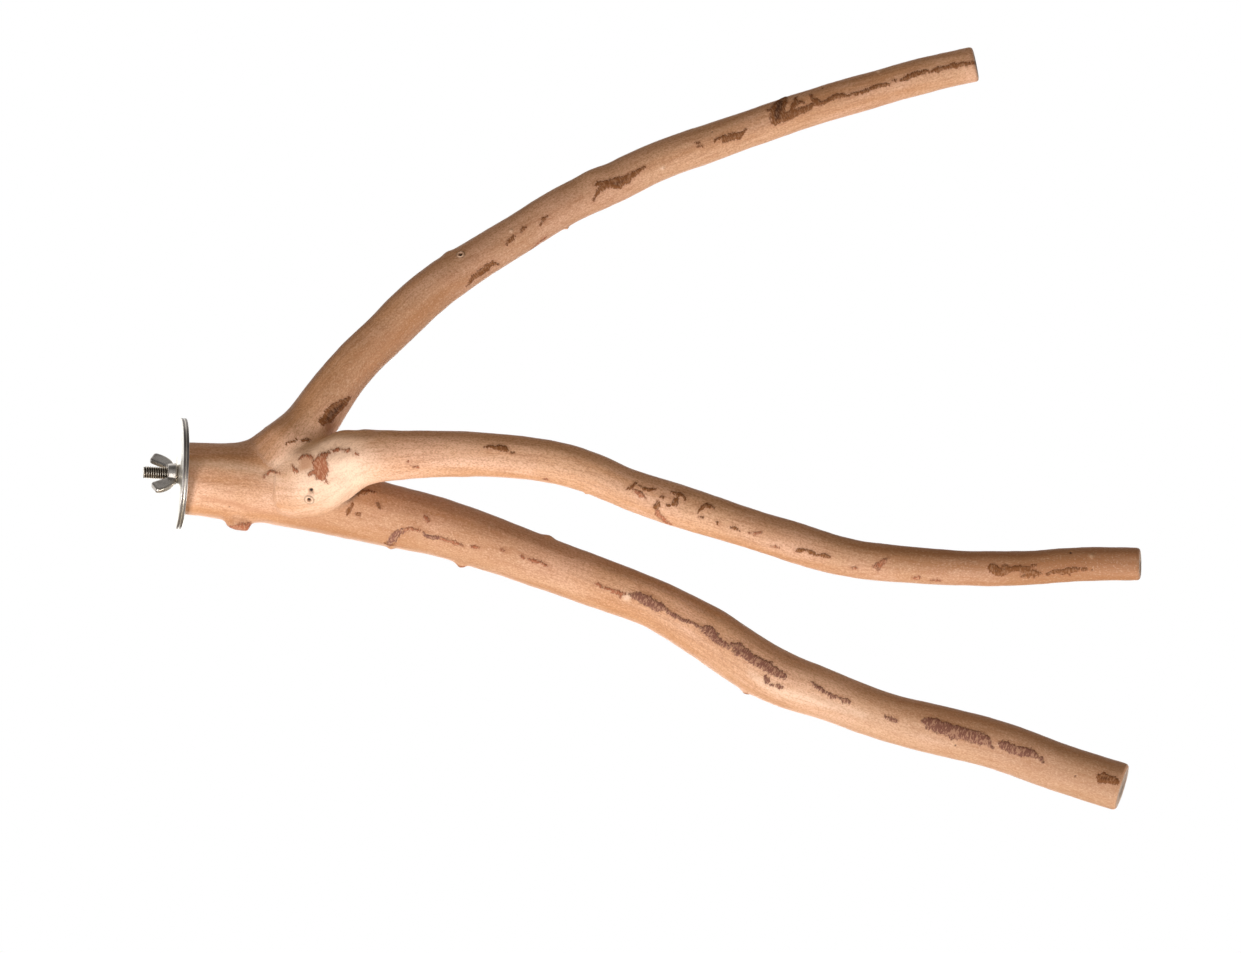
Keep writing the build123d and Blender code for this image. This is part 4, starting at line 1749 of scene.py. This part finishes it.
@dataclass
class HangerBolt:
    """The hanger bolt: a machine thread outside the wood, a plain neck and a pointed wood thread."""

    radius: float = 2.98 * MM
    tip: float = -16.4 * MM
    neck_start: float = 2.0 * MM
    neck_end: float = 5.0 * MM
    end: float = 33.3 * MM
    point: float = 8.0 * MM
    point_radius: float = 0.6 * MM
    neck_radius: float = 2.6 * MM
    machine_pitch: float = 1.0 * MM
    machine_root: float = 2.40 * MM
    machine_crest: float = 0.125
    wood_pitch: float = 2.3 * MM
    wood_root: float = 2.15 * MM
    wood_crest: float = 0.04
    neck_overlap: float = 1.0 * MM
    chamfer: float = 0.7 * MM
    steps: int = 40

    def build(self, finish: Finish) -> Piece:
        """Make the bolt and dress it.

        Args:
            finish: Its material.

        Returns:
            The finished piece.
        """
        machine = self.thread(
            self.tip, self.neck_start, self.machine_pitch, self.machine_root, self.machine_crest
        )
        for vert in machine.verts:
            across = Vector((0, vert.co.y, vert.co.z))
            limit = self.radius - self.chamfer + (vert.co.x - self.tip)
            if across.length > limit > 0:
                vert.co -= across * (1 - limit / across.length)
        wood = self.thread(self.neck_end, self.end, self.wood_pitch, self.wood_root, self.wood_crest)
        for vert in wood.verts:
            share = (vert.co.x - (self.end - self.point)) / self.point
            if share > 0:
                size = 1 - share * (1 - self.point_radius / self.radius)
                vert.co = Vector((vert.co.x, vert.co.y * size, vert.co.z * size))
        bm = bmesh.new()
        add_part(bm, machine)
        add_part(bm, wood)
        length = self.neck_end - self.neck_start + self.neck_overlap
        middle = Vector(((self.neck_start + self.neck_end) / 2, 0, 0))
        bmesh.ops.create_cone(
            bm,
            cap_ends=True,
            segments=self.steps,
            radius1=self.neck_radius,
            radius2=self.neck_radius,
            depth=length,
            matrix=Matrix.Translation(middle) @ Matrix.Rotation(math.pi / 2, 4, "Y"),
        )
        mesh = mesh_from(bm, "hanger_bolt_threaded", math.radians(35))
        return finished("hanger_bolt_threaded", mesh, Body.PERCH, "hanger_bolt", [finish])

    def thread(self, start: float, end: float, pitch: float, root: float, crest: float) -> BMesh:
        """Turn one tooth round the axis into a right-hand thread, cut square at both ends.

        Args:
            start: Where the thread begins along the bolt.
            end: Where it ends.
            pitch: The advance of one turn.
            root: The radius at the bottom of the thread.
            crest: The flat on top of a tooth, as a share of the pitch.

        Returns:
            A closed bmesh of the thread.
        """
        bm = bmesh.new()
        turns = math.ceil((end - start) / pitch) + 2
        first = start - 1.5 * pitch
        tooth = [
            (0.0, root),
            (0.25 * pitch, root),
            ((0.625 - crest / 2) * pitch, self.radius),
            ((0.625 + crest / 2) * pitch, self.radius),
            (pitch, root),
        ]
        verts = [bm.verts.new((first + x, 0.0, r)) for x, r in tooth]
        edges = [bm.edges.new(pair) for pair in zip(verts, verts[1:])]
        bmesh.ops.spin(
            bm,
            geom=[*verts, *edges],
            cent=(0, 0, 0),
            axis=(1, 0, 0),
            dvec=(pitch / self.steps, 0, 0),
            angle=math.tau * turns,
            steps=self.steps * turns,
        )
        bmesh.ops.remove_doubles(bm, verts=bm.verts, dist=WELD)
        for place, out in ((start, -1), (end, 1)):
            bmesh.ops.bisect_plane(
                bm,
                geom=[*bm.verts, *bm.edges, *bm.faces],
                dist=1e-7,
                plane_co=(place, 0, 0),
                plane_no=(out, 0, 0),
                clear_outer=True,
            )
        bmesh.ops.holes_fill(bm, edges=[e for e in bm.edges if e.is_boundary], sides=0)
        bmesh.ops.recalc_face_normals(bm, faces=bm.faces)
        return bm


@dataclass
class WingNut:
    """A pressed wing nut: a round hub with two leaning wings that flow out of it."""

    seat: float = -1.3 * MM
    bore: float = 3.05 * MM
    hub_radius: float = 4.9 * MM
    hub_height: float = 4.6 * MM
    hub_taper: float = 0.5 * MM
    hub_chamfer: float = 0.9 * MM
    half_span: float = 13.4 * MM
    height: float = 12.2 * MM
    tip_width: float = 5.8 * MM
    tip_angle: float = math.radians(26)
    tip_radius: float = 1.2 * MM
    bulge: float = 2.2 * MM
    edge_steps: int = 9
    root_height: float = 0.6 * MM
    root: float = 3.5 * MM
    thickness: float = 2.5 * MM
    edge: float = 0.7 * MM
    turn: float = math.radians(-52)
    hub_steps: int = 72
    voxel: float = 0.2 * MM
    bore_margin: float = 0.35 * MM
    flow_zone: tuple[float, float] = (4.0 * MM, 7.2 * MM)
    flow_rounds: int = 14

    def build(self, finish: Finish) -> Piece:
        """Make the nut and dress it.

        Args:
            finish: Its material.

        Returns:
            The finished piece.
        """
        bm = bmesh.new()
        self.add_hub(bm)
        for half in (0.0, math.pi):
            self.add_wing(bm, half)
        bmesh.ops.recalc_face_normals(bm, faces=bm.faces)
        bm = remeshed(bm, self.voxel)
        outer = [v for v in bm.verts if math.hypot(v.co.y, v.co.z) > self.bore + self.bore_margin]
        start, end = self.flow_zone
        roots = [v for v in outer if start < math.hypot(v.co.y, v.co.z) < end]
        smooth(bm, outer, 3)
        smooth(bm, roots, self.flow_rounds)
        bmesh.ops.rotate(bm, verts=bm.verts, matrix=Matrix.Rotation(self.turn, 3, "X"))
        mesh = mesh_from(bm, "wing_nut_plated", math.radians(60))
        return finished("wing_nut_plated", mesh, Body.WING_NUT, "wing_nut", [finish])

    def add_hub(self, bm: BMesh) -> None:
        """Add the hub, bored for the bolt.

        Args:
            bm: The bmesh to add to, which is still empty.
        """
        outline = [
            (self.seat, self.bore),
            (self.seat, self.hub_radius - self.hub_chamfer),
            (self.seat - self.hub_chamfer, self.hub_radius),
            (self.seat - self.hub_height, self.hub_radius - self.hub_taper),
            (self.seat - self.hub_height, self.bore),
        ]
        add_turned(bm, outline, self.hub_steps)

    def add_wing(self, bm: BMesh, half: float) -> None:
        """Add one wing, with a rounded tip and rounded edges.

        Args:
            bm: The bmesh to add to.
            half: Its angle round the bolt.
        """
        inner = self.half_span - self.tip_width * math.cos(self.tip_angle)
        outline = self.outer_edge()
        outline += [(self.seat - self.height, inner), (self.seat - self.hub_height, self.root)]
        wing = bmesh.new()
        verts = [wing.verts.new((x, -self.thickness / 2, r)) for x, r in outline]
        wing.faces.new(verts)
        bmesh.ops.bevel(
            wing,
            geom=verts[-3:-1],
            offset=self.tip_radius,
            segments=6,
            profile=0.5,
            affect="VERTICES",
            material=-1,
        )
        pushed(wing, next(iter(wing.faces)), Matrix.Translation((0, self.thickness, 0)))
        rims = [e for e in wing.edges if abs(e.verts[0].co.y - e.verts[1].co.y) < 1e-7]
        bmesh.ops.bevel(
            wing, geom=rims, offset=self.edge, segments=4, profile=0.5, affect="EDGES", material=-1
        )
        bmesh.ops.rotate(wing, verts=wing.verts, matrix=Matrix.Rotation(half, 3, "X"))
        add_part(bm, wing)

    def outer_edge(self) -> list[tuple[float, float]]:
        """The bulged outer edge of a wing, from its foot on the hub to its tip.

        Returns:
            Places along the bolt and radii.
        """
        outer = self.height - self.tip_width * math.sin(self.tip_angle)
        foot = Vector((self.seat - self.root_height, self.root))
        run = Vector((self.seat - outer, self.half_span)) - foot
        out = Vector((run.y, -run.x)).normalized() * 4 * self.bulge
        shares = [step / self.edge_steps for step in range(self.edge_steps + 1)]
        return [tuple(foot + run * t + out * t * (1 - t)) for t in shares]


class Lamp(NamedTuple):
    """A soft square lamp: where it hangs, what it points at, its width and its power in watts."""

    name: str
    place: Vector
    aim: Vector
    size: float
    watts: float


LAMPS = [
    Lamp("key", Vector((-0.4, -0.6, -0.68)), Vector((0.15, -0.03, 0.0)), 0.25, 9.0),
    Lamp("fill", Vector((-0.15, -1.3, -0.35)), Vector((0.15, 0, 0)), 0.8, 4.5),
    Lamp("side", Vector((1.0, -0.4, -0.5)), Vector((0.4, -0.1, 0)), 0.4, 4.5),
    Lamp("back", Vector((0.25, 1.1, -0.3)), Vector((0.2, 0, 0)), 0.8, 6.0),
]


@dataclass
class Studio:
    """A pale floor, soft light and the camera of the photograph."""

    floor_height: float = -1.0
    floor_half: float = 1.2
    floor_colour: Colour = (0.93, 0.93, 0.92)
    floor_glow: Colour = (0.80, 0.87, 0.98)
    floor_level: float = 0.76
    soft_light: dict[float, Colour] = field(
        default_factory=lambda: {-1.0: (0.25, 0.25, 0.25), 0.0: (0.12, 0.11, 0.10), 1.0: (0.33, 0.235, 0.12)}
    )
    shine: dict[float, Colour] = field(
        default_factory=lambda: {
            -1.0: (0.5, 0.5, 0.5),
            -0.4: (0.12, 0.12, 0.12),
            0.2: (0.2, 0.2, 0.2),
            0.6: (1.0, 1.0, 1.0),
            1.0: (1.0, 1.0, 1.0),
        }
    )
    lens: float = 102.08
    eye: Vector = field(default_factory=lambda: Vector((-150.464, -1568.963, 10.333)) * MM)
    right: Vector = field(default_factory=lambda: Vector((0.97430, -0.21778, 0.05756)))
    up: Vector = field(default_factory=lambda: Vector((-0.05618, 0.01256, 0.99834)))

    def build(self) -> None:
        """Set the stage."""
        self.add_floor()
        self.add_world()
        for lamp in LAMPS:
            self.add_lamp(lamp)
        self.add_camera()
        bpy.context.scene.view_settings.view_transform = "Standard"

    def add_floor(self) -> None:
        """Lay a plain floor well under the perch, pale to the camera, where its shadow can fall."""
        bm = bmesh.new()
        bmesh.ops.create_grid(
            bm,
            x_segments=1,
            y_segments=1,
            size=self.floor_half,
            matrix=Matrix.Translation((0.2, 0, self.floor_height)),
        )
        mesh = mesh_from(bm, "floor")
        sh = Shader("pale_floor")
        sh.surface.inputs["Base Color"].default_value = linear(self.floor_colour)
        sh.surface.inputs["Roughness"].default_value = 0.9
        sh.surface.inputs["Emission Color"].default_value = (*self.floor_glow, 1.0)
        path = sh.node("ShaderNodeLightPath")
        seen = sh.math("MULTIPLY", path.outputs["Is Camera Ray"], self.floor_level)
        sh.feed(sh.surface.inputs["Emission Strength"], seen)
        mesh.materials.append(sh.material)
        floor = bpy.data.objects.new("floor", mesh)
        bpy.context.scene.collection.objects.link(floor)

    def add_world(self) -> None:
        """Light the scene softly from above and below, on a white background.

        Metal sees bright surroundings behind the perch and past its nut.
        """
        world = bpy.data.worlds.new("studio")
        world.use_nodes = True
        bpy.context.scene.world = world
        sky = Nodes(world.node_tree)
        path = sky.node("ShaderNodeLightPath").outputs
        side = sky.split(sky.node("ShaderNodeTexCoord").outputs["Generated"])
        soft = self.ramp(sky, side["Z"], self.soft_light)
        past_nut = sky.math("SUBTRACT", sky.math("MULTIPLY", side["X"], -2.0), 1.4)
        shine = self.ramp(sky, sky.math("MAXIMUM", side["Y"], past_nut), self.shine)
        lit = sky.mix(path["Is Glossy Ray"], soft, shine)
        shown = sky.math("MAXIMUM", path["Is Camera Ray"], path["Is Transmission Ray"])
        colour = sky.mix(shown, lit, (1.0, 1.0, 1.0))
        sky.feed(sky.tree.nodes["Background"].inputs["Color"], colour)

    def ramp(self, sky: Nodes, along: Socket, stops: dict[float, Colour]) -> Socket:
        """Grade a colour along one axis of the sky.

        Args:
            sky: The world's nodes.
            along: The axis, from -1 to 1.
            stops: Linear colours by their place on the axis.

        Returns:
            The colour.
        """
        span = sky.node("ShaderNodeMapRange")
        span.inputs["From Min"].default_value = -1.0
        sky.feed(span.inputs["Value"], along)
        made = sky.node("ShaderNodeValToRGB")
        sky.feed(made.inputs["Fac"], span.outputs["Result"])
        places = sorted(stops)
        for extra in places[1:-1]:
            made.color_ramp.elements.new((extra + 1) / 2)
        for element, place in zip(made.color_ramp.elements, places):
            element.position = (place + 1) / 2
            element.color = (*stops[place], 1.0)
        return made.outputs["Color"]

    def add_lamp(self, lamp: Lamp) -> None:
        """Hang a lamp.

        Args:
            lamp: The lamp.
        """
        data = bpy.data.lights.new(lamp.name, "AREA")
        data.size = lamp.size
        data.energy = lamp.watts
        made = bpy.data.objects.new(lamp.name, data)
        made.location = lamp.place
        made.rotation_euler = (lamp.aim - lamp.place).to_track_quat("-Z", "Y").to_euler()
        bpy.context.scene.collection.objects.link(made)

    def add_camera(self) -> None:
        """Stand the camera where the photograph was taken from."""
        data = bpy.data.cameras.new("photo_view")
        data.sensor_width = 36.0
        data.lens = self.lens
        data.clip_start, data.clip_end = 0.05, 20.0
        camera = bpy.data.objects.new("photo_view", data)
        back = self.right.cross(self.up)
        turn = Matrix((self.right, self.up, back)).transposed().to_4x4()
        camera.matrix_world = Matrix.Translation(self.eye) @ turn
        bpy.context.scene.collection.objects.link(camera)
        bpy.context.scene.camera = camera


def main() -> None:
    """Load the frame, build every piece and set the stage."""
    logging.basicConfig(level=logging.INFO, format="%(name)s: %(message)s")
    noise.seed_set(NOISE_SEED)
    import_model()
    ForkedBranch().build()
    washer_face = ZincPlate("washer_zinc", (0.97, 0.95, 0.91), (0.93, 0.91, 0.87), 0.24, dent=0.003)
    washer_rim = ZincPlate("washer_rim", (0.58, 0.55, 0.53), (0.44, 0.41, 0.40), 0.3)
    washer_finishes = [washer_face.material(), washer_rim.material()]
    Washer(0.0, Body.PERCH, "inner_washer").build(washer_finishes)
    Washer(-1.3 * MM, Body.OUTER_WASHER, "outer_washer").build(washer_finishes)
    HangerBolt().build(ThreadedZinc().material())
    WingNut().build(ZincPlate("nut_zinc", (0.82, 0.79, 0.76), (0.64, 0.61, 0.58), 0.18).material())
    Studio().build()


if __name__ == "__main__":
    main()
